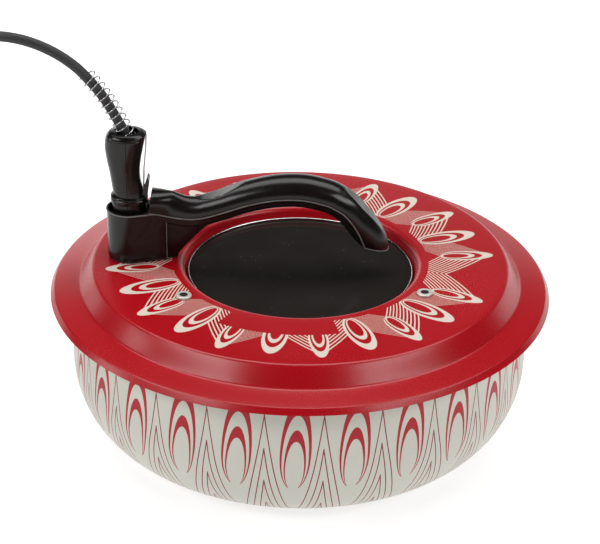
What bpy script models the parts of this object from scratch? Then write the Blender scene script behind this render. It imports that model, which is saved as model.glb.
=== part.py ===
"""Round electric cake pan: a patterned pan, and a lift-off heating lid with a window, a handle and a lead."""

import math

import bmesh
import bpy
from mathutils import Matrix, Vector

# Clearances and mesh steps
GAP = 0.0003
OVERRUN = 0.002
WELD = 0.00001
ROUND_STEPS = 48
RING_STEPS = 40
SMALL_STEPS = 12
FILLET_STEPS = 1
FILLET_LIMIT_SHARE = 0.45
MILLIMETRE = 0.001

# Pan, one deep-drawn sheet with a rolled rim that the lid rests on
PAN_HEIGHT = 0.0996
PAN_SHEET = 0.0015
PAN_RIM_RADIUS = 0.1600
PAN_RIM_WIDTH = 0.0100
PAN_NECK_RADIUS = PAN_RIM_RADIUS - PAN_RIM_WIDTH
PAN_SWELL = 0.0015
PAN_WALL_RADIUS = PAN_NECK_RADIUS + PAN_SWELL
PAN_BEND_WIDTH = 0.0415
PAN_BASE_RADIUS = PAN_WALL_RADIUS - PAN_BEND_WIDTH
PAN_BEND_HEIGHT = 0.0520
PAN_BEND_STEPS = 6
PAN_CURL = 0.0022
PAN_RIM_FILLET = 0.0010

# Lid, one pressed sheet from the window ledge out to the lip
LID_OVERHANG = 0.0050
LID_RADIUS = PAN_RIM_RADIUS + LID_OVERHANG
LID_SHEET = 0.0012
LID_LIP_HEIGHT = 0.0037
LID_LIP_FLARE = 0.0025
LID_FLANGE_FALL = 0.0026
LID_FLANGE_WIDTH = 0.0194
LID_STEP_FOOT_RADIUS = LID_RADIUS - LID_FLANGE_WIDTH
LID_STEP_HEIGHT = 0.0122
LID_STEP_RUN = 0.0087
PLATEAU_RADIUS = LID_STEP_FOOT_RADIUS - LID_STEP_RUN
PLATEAU_WIDTH = 0.0576
LID_SOFT_FILLET = 0.0022
LID_LIP_FILLET = 0.0012
WINDOW_RADIUS = PLATEAU_RADIUS - PLATEAU_WIDTH
WELL_TAPER = 0.0041
WELL_RADIUS = WINDOW_RADIUS - WELL_TAPER
WELL_DEPTH = 0.0128
WELL_TAPER_DEPTH = 0.0080
LEDGE_WIDTH = 0.0047
WINDOW_FILLET = 0.0016

# Window, laid on the ledge between a seal and a spring ring
SEAL_THICKNESS = 0.0012
SEAL_WIDTH = 0.0038
GLASS_THICKNESS = 0.0035
GLASS_EDGE = 0.0004
GLASS_CLEARANCE = 0.0006
GLASS_RING_WIDTH = 0.0011
GLASS_RING_HEIGHT = 0.0010

# Reflector dish and heating element under the lid
SPACER_HEIGHT = 0.0077
SPACER_RADIUS = 0.0040
REFLECTOR_SHEET = 0.0008
REFLECTOR_INSET = 0.0047
REFLECTOR_INNER_RADIUS = WINDOW_RADIUS + REFLECTOR_INSET
REFLECTOR_EDGE_GAP = 0.0126
REFLECTOR_OUTER_RADIUS = LID_STEP_FOOT_RADIUS - REFLECTOR_EDGE_GAP
REFLECTOR_LIP = 0.0050
REFLECTOR_FILLET = 0.0020
ELEMENT_INSET = 0.0289
ELEMENT_RING_RADIUS = PLATEAU_RADIUS - ELEMENT_INSET
ELEMENT_TUBE_RADIUS = 0.0035
ELEMENT_BEND_RADIUS = 0.0060
ELEMENT_BEND_STEPS = 4
ELEMENT_END_RISE = 0.0024
ELEMENT_END_HOLE_CLEARANCE = 0.0006
TERMINAL_HALF_SPACING = 0.0070
TERMINAL_RADIUS = 0.0015
TERMINAL_LENGTH = 0.0105
BEAD_RADIUS = 0.0034
BEAD_HEIGHT = 0.0036
CLIP_THICKNESS = 0.0010
CLIP_WIDTH = 0.0080
CLIP_TAIL = 0.0060
CLIP_HOOK_ANGLE = math.radians(-110.0)
CLIP_ARC_STEPS = 8

# Lid screws, each through the lid, a spacer, the reflector and a clip
SCREW_INSET = 0.0127
SCREW_CIRCLE_RADIUS = WINDOW_RADIUS + SCREW_INSET
SCREW_ANGLES = (math.radians(94.6), math.radians(217.7), math.radians(331.5))
SCREW_SHANK_RADIUS = 0.0020
SCREW_HEAD_RADIUS = 0.0051
SCREW_HEAD_HEIGHT = 0.0022
SCREW_HEAD_EDGE = 0.0009
SCREW_RECESS_RADIUS = 0.0024
SCREW_RECESS_DEPTH = 0.0014
SCREW_TIP = 0.0010
NUT_RADIUS = 0.0040
NUT_HEIGHT = 0.0030
NUT_SIDES = 6

# Handle housing: a post round the inlet, a web and an arched grip in one moulding
POST_INSET = 0.0239
POST_DISTANCE = PLATEAU_RADIUS - POST_INSET
POST_RADIUS = 0.0158
POST_HEIGHT = 0.0336
POST_ARC_STEPS = 18
NECK_REACH = 0.0250
NECK_HALF_WIDTH = 0.0070
SOCKET_LENGTH = 0.0284
SOCKET_WIDTH = 0.0237
SOCKET_DEPTH = 0.0224
SOCKET_STEPS = 28
SOCKET_WALL = 0.0012
CAVITY_RADIUS = 0.0114
WIRING_HOLE_RADIUS = 0.0110
HOUSING_SEAL = 0.0007
WEB_HALF_THICKNESS = 0.0045
WEB_FOOT = 0.0320
WEB_REACH = 0.0350
WEB_TOP_SHARE = 0.05
WEB_EDGE_SHARES = (
    (0.00, 0.00),
    (0.04, 0.11),
    (0.23, 0.345),
    (0.42, 0.555),
    (0.70, 0.815),
    (0.93, 0.89),
    (1.00, 1.00),
)
HOUSING_SCREW_REACH = 0.0185
HOUSING_SCREW_HALF_SPACING = 0.0042
HOUSING_SCREW_RADIUS = 0.0015
HOUSING_SCREW_BITE = 0.0100
HOUSING_SCREW_HEAD_RADIUS = 0.0032
HOUSING_SCREW_HEAD_HEIGHT = 0.0020

# Grip, lofted through sections of its path; shares of reach, rise, half width, crown and belly, then the lean
GRIP_REACH = 0.1460
GRIP_RISE = 0.0130
GRIP_HALF_WIDTH = 0.0120
GRIP_CROWN = 0.0124
GRIP_BELLY = 0.0056
GRIP_STATION_SHARES = (
    (0.000, 0.05, 0.90, 1.00, 1.00, 0.00),
    (0.040, -0.06, 0.77, 1.10, 1.00, 0.00),
    (0.080, -0.18, 0.68, 1.19, 1.00, 0.00),
    (0.122, -0.25, 0.68, 1.12, 1.00, 0.00),
    (0.164, -0.26, 0.73, 1.00, 1.00, 0.00),
    (0.232, -0.14, 0.84, 0.92, 1.00, 0.00),
    (0.328, 0.27, 0.94, 0.94, 1.00, 0.00),
    (0.431, 0.68, 0.98, 0.95, 1.00, 0.00),
    (0.547, 0.98, 1.00, 0.98, 1.00, 0.00),
    (0.670, 1.05, 1.00, 1.00, 1.00, 0.00),
    (0.773, 0.83, 1.00, 1.00, 1.00, 0.00),
    (0.852, 0.37, 1.00, 0.98, 1.00, 0.00),
    (0.900, -0.20, 0.99, 1.00, 1.00, 0.00),
    (0.931, -0.84, 0.96, 1.12, 0.86, 0.12),
    (0.949, -1.33, 0.91, 1.26, 0.60, 0.36),
    (0.957, -1.56, 0.84, 1.28, 0.36, 0.60),
)
GRIP_CROWN_STEPS = 8
GRIP_CROWN_POWER = 0.9
GRIP_BELLY_SHARES = ((-0.97, 0.62), (-0.72, 1.0), (0.72, 1.0), (0.97, 0.62))
GRIP_FLAT_SPANS = ((0.216, 0.436), (0.820, 0.950))
GRIP_FLAT_DEPTH = 0.0016
SEAM_LIP = 0.0004
SEAM_LIP_HEIGHT = 0.0009

# Inlet inside the post
BLOCK_THICKNESS = 0.0050
PIN_RADIUS = 0.0020
PIN_HALF_SPACING = 0.0052
PIN_TAIL = 0.0030
PIN_RISE = 0.0150
PIN_DOME = 0.0008
EARTH_SPRING_THICKNESS = 0.0005
EARTH_SPRING_WIDTH = 0.0040
EARTH_SPRING_HEIGHT = 0.0140
EARTH_SPRING_BULGE = 0.0005
LEAD_RADIUS = 0.0009
EARTH_LEAD_WALL = 0.0020

# Appliance connector, two shell halves round the contacts
PLUG_IN_CLEARANCE = 0.0010
CONNECTOR_SHIFT = 0.0002
CONNECTOR_HALF_LENGTH = 0.0132
CONNECTOR_HALF_WIDTH = 0.0114
CONNECTOR_HEIGHT = 0.0703
CONNECTOR_STEPS = 16
CONNECTOR_SECTION_POWER = 0.86
CONNECTOR_SECTION_SHARES = (
    (0.000, 0.83, 0.83),
    (0.296, 0.83, 0.83),
    (0.304, 0.93, 0.91),
    (0.356, 0.93, 0.91),
    (0.374, 0.76, 0.78),
    (0.430, 0.74, 0.78),
    (0.560, 0.78, 0.84),
    (0.690, 0.89, 0.93),
    (0.810, 0.97, 0.98),
    (0.905, 1.00, 1.00),
    (0.950, 0.96, 0.96),
    (0.985, 0.84, 0.83),
    (1.000, 0.72, 0.72),
)
SHELL_MOUTH_RADIUS = 0.0075
SHELL_MOUTH_DEPTH = 0.0065
SHELL_CORD_DEPTH = 0.0140
CONTACT_WALL = 0.0008
CONTACT_CLEARANCE = 0.0004
CONTACT_LENGTH = 0.0170
STRIP_THICKNESS = 0.0005
STRIP_WIDTH = 0.0060
STRIP_STAND = 0.00145
STRIP_SHARES = ((0.08, 0.0), (0.25, 0.0), (0.285, 1.0), (0.93, 1.0))
GUARD_THICKNESS = 0.0012
GUARD_CHEEK = 0.0008
GUARD_ROOT_SHARES = (0.31, 0.35)
GUARD_EDGE_SHARES = (
    (0.310, 0.15),
    (0.350, 0.30),
    (0.420, 0.72),
    (0.475, 1.00),
    (0.500, 0.85),
    (0.512, 0.42),
    (0.500, 0.00),
)
JOIN_SCREW_SHARE = 0.74
JOIN_SCREW_RADIUS = 0.0013
JOIN_SCREW_HEAD_RADIUS = 0.0025
JOIN_SCREW_HEAD_HEIGHT = 0.0010
JOIN_SCREW_BITE = 0.0080
JOIN_SCREW_REACH = 0.0092

# Strain-relief spring
SPRING_WIRE_RADIUS = 0.00045
SPRING_RADIUS = 0.00535
SPRING_OFFSET = 0.0008
SPRING_LENGTH = 0.0505
SPRING_OPEN_TURNS = 10.0
SPRING_CLOSED_TURNS = 1.5
SPRING_CLOSED_PITCH = 0.0021
SPRING_TURN_POINTS = 9
SPRING_PATH_STEP = 0.0001

# Mains lead
CORD_RADIUS = 0.0033
CORD_POINT_STEP = 0.0070
ROUTE_FINENESS = 24
CORD_UPPER_ROUTE = (
    (-0.1128, 0.0, 0.1912),
    (-0.1128, 0.0, 0.1985),
    (-0.1146, 0.0, 0.2046),
    (-0.1184, 0.0, 0.2120),
    (-0.1239, 0.0, 0.2222),
    (-0.1297, 0.0, 0.2314),
    (-0.1368, 0.0, 0.2402),
    (-0.1445, 0.0, 0.2482),
    (-0.1550, 0.0, 0.2558),
    (-0.1670, 0.0, 0.2618),
    (-0.1800, 0.0005, 0.2655),
    (-0.1935, 0.0020, 0.2663),
    (-0.2065, 0.0050, 0.2633),
    (-0.2180, 0.0100, 0.2560),
    (-0.2270, 0.0160, 0.2445),
    (-0.2325, 0.0230, 0.2300),
    (-0.2353, 0.0310, 0.2120),
    (-0.2360, 0.0390, 0.1900),
    (-0.2360, 0.0450, 0.1600),
    (-0.2360, 0.0480, 0.1300),
)
CORD_LOWER_ROUTE = (
    (-0.2360, 0.0480, 0.1297),
    (-0.2360, 0.0480, 0.1000),
    (-0.2360, 0.0480, 0.0700),
    (-0.2360, 0.0480, 0.0402),
    (-0.2360, 0.0453, 0.0264),
    (-0.2360, 0.0375, 0.0147),
    (-0.2360, 0.0258, 0.0069),
    (-0.2360, 0.0160, 0.0045),
    (-0.2360, 0.0069, 0.0042),
)
CORD_TAIL_ROUTE = (
    (-0.2360, -0.0069, 0.0114),
    (-0.2360, -0.0180, 0.0119),
    (-0.2360, -0.0300, 0.0142),
    (-0.2360, -0.0410, 0.0168),
    (-0.2360, -0.0500, 0.0181),
    (-0.2360, -0.0570, 0.0183),
)
COIL_DISTANCE = 0.1684
COIL_MID_RADIUS = 0.0380
COIL_PITCH = 0.0072
COIL_LAYER_TURNS = 2
COIL_CLIMB_TURNS = 0.5
COIL_TURN_POINTS = 24
TIE_THICKNESS = 0.0006
TIE_WIDTH = 0.0050
TIE_SLACK = 0.0004
TIE_CORNER_STEPS = 3

# Mains plug, lying on its rim beside the coil
PLUG_RADIUS = 0.0183
PLUG_LENGTH = 0.0380
PLUG_EDGE = 0.0010
PLUG_PROFILE_SHARES = ((0.40, 0.0), (0.46, 0.22), (0.62, 0.52), (0.72, 0.62), (1.0, 1.0))
PLUG_STEPS = 24
PLUG_NOTCH_WIDTH = 0.0060
PLUG_NOTCH_DEPTH = 0.0026
PLUG_NOTCH_LENGTH = 0.0135
PLUG_CLIP_THICKNESS = 0.0008
PLUG_PIN_RADIUS = 0.0024
PLUG_PIN_HALF_SPACING = 0.0095
PLUG_PIN_LENGTH = 0.0190
PLUG_PIN_SEAT = 0.0060
RELIEF_LENGTH = 0.0260
RELIEF_TIP_RADIUS = 0.0046
RELIEF_ROOT_RADIUS = 0.0076

# Colours and finishes: red, green, blue, roughness, metallic
FINISHES = {
    "cream_enamel": (0.68, 0.64, 0.56, 0.35, 0.0),
    "red_enamel": (0.42, 0.010, 0.020, 0.32, 0.0),
    "smoked_glass": (0.020, 0.018, 0.016, 0.06, 0.0),
    "bright_metal": (0.75, 0.75, 0.76, 0.22, 1.0),
    "aluminium": (0.66, 0.67, 0.68, 0.40, 1.0),
    "element_steel": (0.30, 0.29, 0.28, 0.45, 1.0),
    "brass": (0.70, 0.50, 0.20, 0.30, 1.0),
    "black_bakelite": (0.012, 0.010, 0.009, 0.28, 0.0),
    "silicone": (0.060, 0.056, 0.052, 0.70, 0.0),
    "ceramic": (0.78, 0.75, 0.68, 0.55, 0.0),
    "black_cord": (0.020, 0.021, 0.022, 0.75, 0.0),
    "wire_sleeve": (0.30, 0.28, 0.24, 0.70, 0.0),
}

PART_NAME = "electric_cake_maker"
TOOLS = "cutters"
POLES = ((1, "live"), (-1, "neutral"))
Y_AXIS = Vector((0.0, 1.0, 0.0))
Z_AXIS = Vector((0.0, 0.0, 1.0))


# Levels and places that follow from the sizes
def flange_slope():
    """Fall of the lid's flange for each metre outwards."""
    return LID_FLANGE_FALL / (LID_RADIUS - LID_LIP_FLARE - LID_STEP_FOOT_RADIUS)


def sloped(sheet):
    """Upright thickness of a sheet that lies along the flange."""
    return sheet * math.hypot(1.0, flange_slope())


def flange_level(radius):
    """Top face of the lid's flange at a radius; the flange rests on the pan's rim."""
    return PAN_HEIGHT + GAP + sloped(LID_SHEET) + flange_slope() * (PAN_RIM_RADIUS - radius)


def plateau_level():
    return flange_level(LID_STEP_FOOT_RADIUS) + LID_STEP_HEIGHT


def ledge_level():
    return plateau_level() - WELL_DEPTH


def seal_level():
    return ledge_level() + GAP


def glass_level():
    return seal_level() + SEAL_THICKNESS + GAP


def reflector_level():
    """Top face of the reflector's floor."""
    return plateau_level() - LID_SHEET - SPACER_HEIGHT - 2 * GAP


def clip_level():
    """Top face of the element clips, under the reflector."""
    return reflector_level() - REFLECTOR_SHEET - GAP


def element_level():
    """Centre of the element's tube."""
    return clip_level() - CLIP_THICKNESS - GAP - ELEMENT_TUBE_RADIUS


def housing_level():
    return plateau_level() + HOUSING_SEAL + 2 * GAP


def post_top():
    return housing_level() + POST_HEIGHT


def block_level():
    """Underside of the inlet block, on the floor of the socket."""
    return post_top() - SOCKET_DEPTH + GAP


def block_top():
    return block_level() + BLOCK_THICKNESS


def connector_x():
    return CONNECTOR_SHIFT - POST_DISTANCE


def connector_level():
    """Lower end of the connector's plug-in part."""
    return block_top() + PLUG_IN_CLEARANCE


def connector_top():
    return connector_level() + CONNECTOR_HEIGHT


def along_connector(height_share):
    return connector_level() + CONNECTOR_HEIGHT * height_share


def coil_level():
    """Centre of the cord in the coil's lower layer."""
    return TIE_THICKNESS + GAP + CORD_RADIUS


def polar(radius, angle):
    return Vector((radius * math.cos(angle), radius * math.sin(angle)))


# Collections, materials and objects
def clear_scene():
    for obj in list(bpy.data.objects):
        bpy.data.objects.remove(obj, do_unlink=True)


def make_collection(name):
    collection = bpy.data.collections.new(name)
    bpy.context.scene.collection.children.link(collection)
    return collection


def make_material(name, finish):
    red, green, blue, roughness, metallic = FINISHES[finish]
    material = bpy.data.materials.new(name)
    material.use_nodes = True
    shader = material.node_tree.nodes["Principled BSDF"]
    shader.inputs["Base Color"].default_value = (red, green, blue, 1.0)
    shader.inputs["Roughness"].default_value = roughness
    shader.inputs["Metallic"].default_value = metallic
    material.diffuse_color = (red, green, blue, 1.0)
    return material


def add_object(name, data, finish):
    """An object for a sub-part, or for a cutter or guide where it has no finish."""
    obj = bpy.data.objects.new(name, data)
    if finish is None:
        bpy.data.collections[TOOLS].objects.link(obj)
        obj.hide_render = True
        obj.display_type = "WIRE"
        return obj
    bpy.data.collections[PART_NAME].objects.link(obj)
    data.materials.append(make_material(name, finish))
    return obj


def add_bmesh(name, bm, finish):
    mesh = bpy.data.meshes.new(name)
    bmesh.ops.recalc_face_normals(bm, faces=bm.faces)
    bm.to_mesh(mesh)
    bm.free()
    return add_object(name, mesh, finish)


def as_mesh(obj):
    """The object with its curve and modifiers turned into one welded mesh."""
    name = obj.name
    matrix = obj.matrix_world.copy()
    hidden = obj.hide_render
    home = obj.users_collection[0]
    bpy.context.view_layer.update()
    evaluated = obj.evaluated_get(bpy.context.evaluated_depsgraph_get())
    mesh = bpy.data.meshes.new_from_object(evaluated)
    bm = bmesh.new()
    bm.from_mesh(mesh)
    bmesh.ops.remove_doubles(bm, verts=bm.verts, dist=WELD)
    bmesh.ops.recalc_face_normals(bm, faces=bm.faces)
    bm.to_mesh(mesh)
    bm.free()
    bpy.data.objects.remove(obj, do_unlink=True)
    solid = bpy.data.objects.new(name, mesh)
    home.objects.link(solid)
    solid.matrix_world = matrix
    solid.hide_render = hidden
    solid.display_type = "WIRE" if hidden else "TEXTURED"
    return solid


# Modelling operations
def boolean(obj, other, operation):
    modifier = obj.modifiers.new(other.name, "BOOLEAN")
    modifier.operation = operation
    modifier.solver = "EXACT"
    modifier.object = other


def cut(obj, *cutters):
    for cutter in cutters:
        boolean(obj, cutter, "DIFFERENCE")


def rounded(corners, steps=FILLET_STEPS):
    """Outline through corners given as (radius, level, fillet), each fillet limited by the runs beside it."""
    points = []
    for index, (x, z, fillet) in enumerate(corners):
        corner = Vector((x, z))
        if fillet <= 0.0:
            points.append(corner)
            continue
        before = Vector(corners[index - 1][:2]) - corner
        after = Vector(corners[index + 1][:2]) - corner
        half = before.angle(after) / 2
        longest = min(before.length, after.length) * FILLET_LIMIT_SHARE
        run = min(fillet / math.tan(half), longest)
        radius = run * math.tan(half)
        middle = (before.normalized() + after.normalized()).normalized()
        centre = corner + middle * (run / math.cos(half))
        start = corner + before.normalized() * run - centre
        end = corner + after.normalized() * run - centre
        for step in range(steps + 1):
            points.append(centre + start.slerp(end, step / steps).normalized() * radius)
    return points


def turned(name, outline, finish, wall=0.0, steps=ROUND_STEPS, closed=False):
    """A turned shape; its outline runs down the outer side, and a wall lies behind an open one."""
    mesh = bpy.data.meshes.new(name)
    vertices = [(point[0], 0.0, point[1]) for point in outline]
    edges = [(index, index + 1) for index in range(len(vertices) - 1)]
    if closed:
        edges.append((len(vertices) - 1, 0))
    mesh.from_pydata(vertices, edges, [])
    obj = add_object(name, mesh, finish)
    screw = obj.modifiers.new("Turn", "SCREW")
    screw.axis = "Z"
    screw.angle = math.tau
    screw.steps = steps
    screw.render_steps = steps
    screw.use_merge_vertices = True
    screw.merge_threshold = WELD
    if wall:
        solidify = obj.modifiers.new("Wall", "SOLIDIFY")
        solidify.thickness = wall
        solidify.offset = -1.0
        solidify.use_even_offset = True
    return obj


def ring(name, inner, outer, low, high, finish, steps=ROUND_STEPS):
    """A plain turned ring."""
    outline = ((inner, high), (outer, high), (outer, low), (inner, low))
    return turned(name, outline, finish, steps=steps, closed=True)


def drum(name, half_x, half_y, low, high, centre, finish, steps=SMALL_STEPS):
    """An upright cylinder, or an oval one where the two half sizes differ."""
    bm = bmesh.new()
    bmesh.ops.create_cone(bm, cap_ends=True, segments=steps, radius1=1.0, radius2=1.0, depth=1.0)
    place = Matrix.Translation((centre[0], centre[1], (low + high) / 2))
    size = Matrix.Diagonal((half_x, half_y, high - low, 1.0))
    bmesh.ops.transform(bm, matrix=place @ size, verts=bm.verts)
    return add_bmesh(name, bm, finish)


def rod(name, radius, start, end, finish, steps=SMALL_STEPS):
    """A straight cylinder between two points."""
    start = Vector(start)
    run = Vector(end) - start
    bm = bmesh.new()
    bmesh.ops.create_cone(bm, cap_ends=True, segments=steps, radius1=1.0, radius2=1.0, depth=1.0)
    size = Matrix.Diagonal((radius, radius, run.length, 1.0))
    turn = Z_AXIS.rotation_difference(run.normalized()).to_matrix().to_4x4()
    place = Matrix.Translation(start + run / 2)
    bmesh.ops.transform(bm, matrix=place @ turn @ size, verts=bm.verts)
    return add_bmesh(name, bm, finish)


def block(name, low, high, finish):
    """A box between two corners."""
    low = Vector(low)
    high = Vector(high)
    bm = bmesh.new()
    bmesh.ops.create_cube(bm, size=1.0)
    place = Matrix.Translation((low + high) / 2)
    size = Matrix.Diagonal((*(high - low), 1.0))
    bmesh.ops.transform(bm, matrix=place @ size, verts=bm.verts)
    return add_bmesh(name, bm, finish)


def extruded(name, outlines, depth, matrix, finish):
    """A flat outline, with any holes as further outlines, made as thick as depth about its own plane."""
    curve = bpy.data.curves.new(name, "CURVE")
    curve.dimensions = "2D"
    curve.fill_mode = "BOTH"
    curve.extrude = depth / 2
    for outline in outlines:
        spline = curve.splines.new("POLY")
        spline.points.add(len(outline) - 1)
        spline.use_cyclic_u = True
        for point, place in zip(spline.points, outline):
            point.co = (place[0], place[1], 0.0, 1.0)
    obj = add_object(name, curve, finish)
    obj.matrix_world = matrix
    return as_mesh(obj)


def tube(name, points, radius, finish, resolution=2):
    """A tube along points."""
    curve = bpy.data.curves.new(name, "CURVE")
    curve.dimensions = "3D"
    curve.bevel_depth = radius
    curve.bevel_resolution = resolution
    curve.use_fill_caps = True
    spline = curve.splines.new("POLY")
    spline.points.add(len(points) - 1)
    for point, place in zip(spline.points, points):
        point.co = (*place, 1.0)
    return add_object(name, curve, finish)


def lofted(name, sections, finish):
    """A closed skin over sections that have as many points each."""
    bm = bmesh.new()
    loops = [[bm.verts.new(point) for point in section] for section in sections]
    count = len(sections[0])
    for first, second in zip(loops, loops[1:]):
        for index in range(count):
            following = (index + 1) % count
            bm.faces.new((first[index], first[following], second[following], second[index]))
    bm.faces.new(loops[0])
    bm.faces.new(loops[-1])
    return add_bmesh(name, bm, finish)


def circle_outline(radius, centre, steps=SMALL_STEPS):
    return [Vector(centre) + polar(radius, math.tau * step / steps) for step in range(steps)]


def upright_plane(origin=(0.0, 0.0, 0.0)):
    """Places an outline of X and Z, drawn flat, in the plane of the handle."""
    return Matrix.Translation(origin) @ Matrix.Rotation(math.radians(90.0), 4, "X")


def smooth_route(route, step):
    """Evenly spaced points on a smooth curve through a route's own points."""
    knots = [Vector(point) for point in route]
    knots = [2 * knots[0] - knots[1], *knots, 2 * knots[-1] - knots[-2]]
    fine = []
    for before, start, end, after in zip(knots, knots[1:], knots[2:], knots[3:]):
        for part in range(ROUTE_FINENESS):
            share = part / ROUTE_FINENESS
            bend = share * share * (3 - 2 * share)
            leaving = (end - before) / 2
            arriving = (after - start) / 2
            swing = leaving * (share * (1 - share) ** 2) - arriving * (share * share * (1 - share))
            fine.append(start.lerp(end, bend) + swing)
    fine.append(knots[-2])
    return resampled(fine, step)


def resampled(fine, step):
    """Points at even distances along a fine polyline, its two ends kept."""
    lengths = [0.0]
    for start, end in zip(fine, fine[1:]):
        lengths.append(lengths[-1] + (end - start).length)
    count = max(1, round(lengths[-1] / step))
    points = []
    index = 0
    for number in range(count + 1):
        wanted = lengths[-1] * number / count
        while index < len(fine) - 2 and lengths[index + 1] < wanted:
            index += 1
        span = lengths[index + 1] - lengths[index]
        points.append(fine[index].lerp(fine[index + 1], (wanted - lengths[index]) / span))
    return points


# Pan
def make_pan_body():
    underside = PAN_HEIGHT - sloped(PAN_SHEET)
    rim = PAN_RIM_RADIUS - PAN_SHEET
    neck = PAN_NECK_RADIUS
    corners = [
        (rim, underside - PAN_CURL, 0.0),
        (rim, underside + flange_slope() * PAN_SHEET, PAN_RIM_FILLET),
        (neck, underside + flange_slope() * (PAN_RIM_RADIUS - neck), PAN_RIM_FILLET),
        (PAN_WALL_RADIUS, PAN_BEND_HEIGHT, 0.0),
    ]
    outline = rounded(corners)
    for step in range(1, PAN_BEND_STEPS + 1):
        angle = math.radians(90.0) * step / PAN_BEND_STEPS
        radius = PAN_BASE_RADIUS + (PAN_WALL_RADIUS - PAN_BASE_RADIUS) * math.cos(angle)
        outline.append(Vector((radius, PAN_BEND_HEIGHT * (1 - math.sin(angle)))))
    outline.append(Vector((0.0, 0.0)))
    turned("pan_body", outline, "cream_enamel", wall=PAN_SHEET)


# Lid sheet and its holes
def lid_outline():
    lip_radius = LID_RADIUS - LID_LIP_FLARE
    lip_top = flange_level(lip_radius)
    plateau = plateau_level()
    return rounded((
        (WELL_RADIUS - LEDGE_WIDTH, ledge_level(), 0.0),
        (WELL_RADIUS, ledge_level(), 0.0),
        (WELL_RADIUS, plateau - WELL_TAPER_DEPTH, 0.0),
        (WINDOW_RADIUS, plateau, WINDOW_FILLET),
        (PLATEAU_RADIUS, plateau, LID_SOFT_FILLET),
        (LID_STEP_FOOT_RADIUS, flange_level(LID_STEP_FOOT_RADIUS), LID_SOFT_FILLET),
        (lip_radius, lip_top, LID_LIP_FILLET),
        (LID_RADIUS, lip_top - LID_LIP_HEIGHT, 0.0),
    ))


def lid_hole(name, radius, centre):
    """A cutter through the lid's plateau."""
    low = plateau_level() - LID_SHEET - OVERRUN
    return drum(name, radius, radius, low, plateau_level() + OVERRUN, centre, None)


def housing_screw_places():
    x = HOUSING_SCREW_REACH - POST_DISTANCE
    return ((x, -HOUSING_SCREW_HALF_SPACING), (x, HOUSING_SCREW_HALF_SPACING))


def make_lid_shell():
    shell = turned("lid_shell", lid_outline(), "red_enamel", wall=LID_SHEET)
    for number, angle in enumerate(SCREW_ANGLES, 1):
        place = polar(SCREW_CIRCLE_RADIUS, angle)
        cut(shell, lid_hole(f"lid_screw_hole_{number}", SCREW_SHANK_RADIUS + GAP, place))
    for number, place in enumerate(housing_screw_places(), 1):
        cut(shell, lid_hole(f"housing_screw_hole_{number}", HOUSING_SCREW_RADIUS + GAP, place))
    cut(shell, lid_hole("wiring_hole", WIRING_HOLE_RADIUS, (-POST_DISTANCE, 0.0)))


# Window
def make_window():
    outer = WELL_RADIUS - GLASS_CLEARANCE
    low = seal_level()
    ring("window_seal", outer - SEAL_WIDTH, outer, low, low + SEAL_THICKNESS, "silicone")
    low = glass_level()
    high = low + GLASS_THICKNESS
    outline = (
        (0.0, high),
        (outer - GLASS_EDGE, high),
        (outer, high - GLASS_EDGE),
        (outer, low),
        (0.0, low),
    )
    turned("window_glass", outline, "smoked_glass")
    low = high + GAP
    ring("window_ring", outer - GLASS_RING_WIDTH, outer, low, low + GLASS_RING_HEIGHT, "bright_metal")


# Reflector and heating element
def terminal_place(side):
    """Centre of one raised end of the element, in plan; side is 1 or -1."""
    angle = math.pi - side * element_end_angle()
    start = polar(ELEMENT_RING_RADIUS, angle)
    return start + ring_direction(angle, side) * ELEMENT_BEND_RADIUS


def element_end_angle():
    """Half of the angle that the element's ring leaves open towards the post."""
    return math.asin((TERMINAL_HALF_SPACING + ELEMENT_BEND_RADIUS) / ELEMENT_RING_RADIUS)


def ring_direction(angle, side):
    """Along the ring, towards the gap at the post."""
    return Vector((-math.sin(angle), math.cos(angle))) * side


def make_reflector():
    level = reflector_level()
    inner = REFLECTOR_INNER_RADIUS
    outer = REFLECTOR_OUTER_RADIUS
    outline = rounded((
        (inner, level + REFLECTOR_LIP, 0.0),
        (inner, level, REFLECTOR_FILLET),
        (outer, level, REFLECTOR_FILLET),
        (outer, level + REFLECTOR_LIP, 0.0),
    ))
    reflector = turned("heat_reflector", outline, "aluminium", wall=REFLECTOR_SHEET)
    low = level - REFLECTOR_SHEET - OVERRUN
    high = level + OVERRUN
    holes = [(polar(SCREW_CIRCLE_RADIUS, angle), SCREW_SHANK_RADIUS + GAP) for angle in SCREW_ANGLES]
    end_hole = ELEMENT_TUBE_RADIUS + ELEMENT_END_HOLE_CLEARANCE
    holes.extend((terminal_place(side), end_hole) for side in (1, -1))
    for number, (place, radius) in enumerate(holes, 1):
        cut(reflector, drum(f"reflector_hole_{number}", radius, radius, low, high, place, None))


def element_end(side):
    """Points of one end of the element, from its ring up to its terminal."""
    angle = math.pi - side * element_end_angle()
    start = polar(ELEMENT_RING_RADIUS, angle)
    direction = ring_direction(angle, side)
    points = []
    for step in range(1, ELEMENT_BEND_STEPS + 1):
        turn = math.radians(90.0) * step / ELEMENT_BEND_STEPS
        place = start + direction * (ELEMENT_BEND_RADIUS * math.sin(turn))
        points.append((*place, element_level() + ELEMENT_BEND_RADIUS * (1 - math.cos(turn))))
    points.append((*terminal_place(side), element_end_level()))
    return points


def element_end_level():
    return element_level() + ELEMENT_BEND_RADIUS + ELEMENT_END_RISE


def make_element():
    opening = element_end_angle()
    first = math.pi + opening
    sweep = math.tau - 2 * opening
    around = []
    for step in range(RING_STEPS + 1):
        place = polar(ELEMENT_RING_RADIUS, first + sweep * step / RING_STEPS)
        around.append((*place, element_level()))
    points = [*reversed(element_end(-1)), *around, *element_end(1)]
    tube("heating_element", points, ELEMENT_TUBE_RADIUS, "element_steel")


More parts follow.
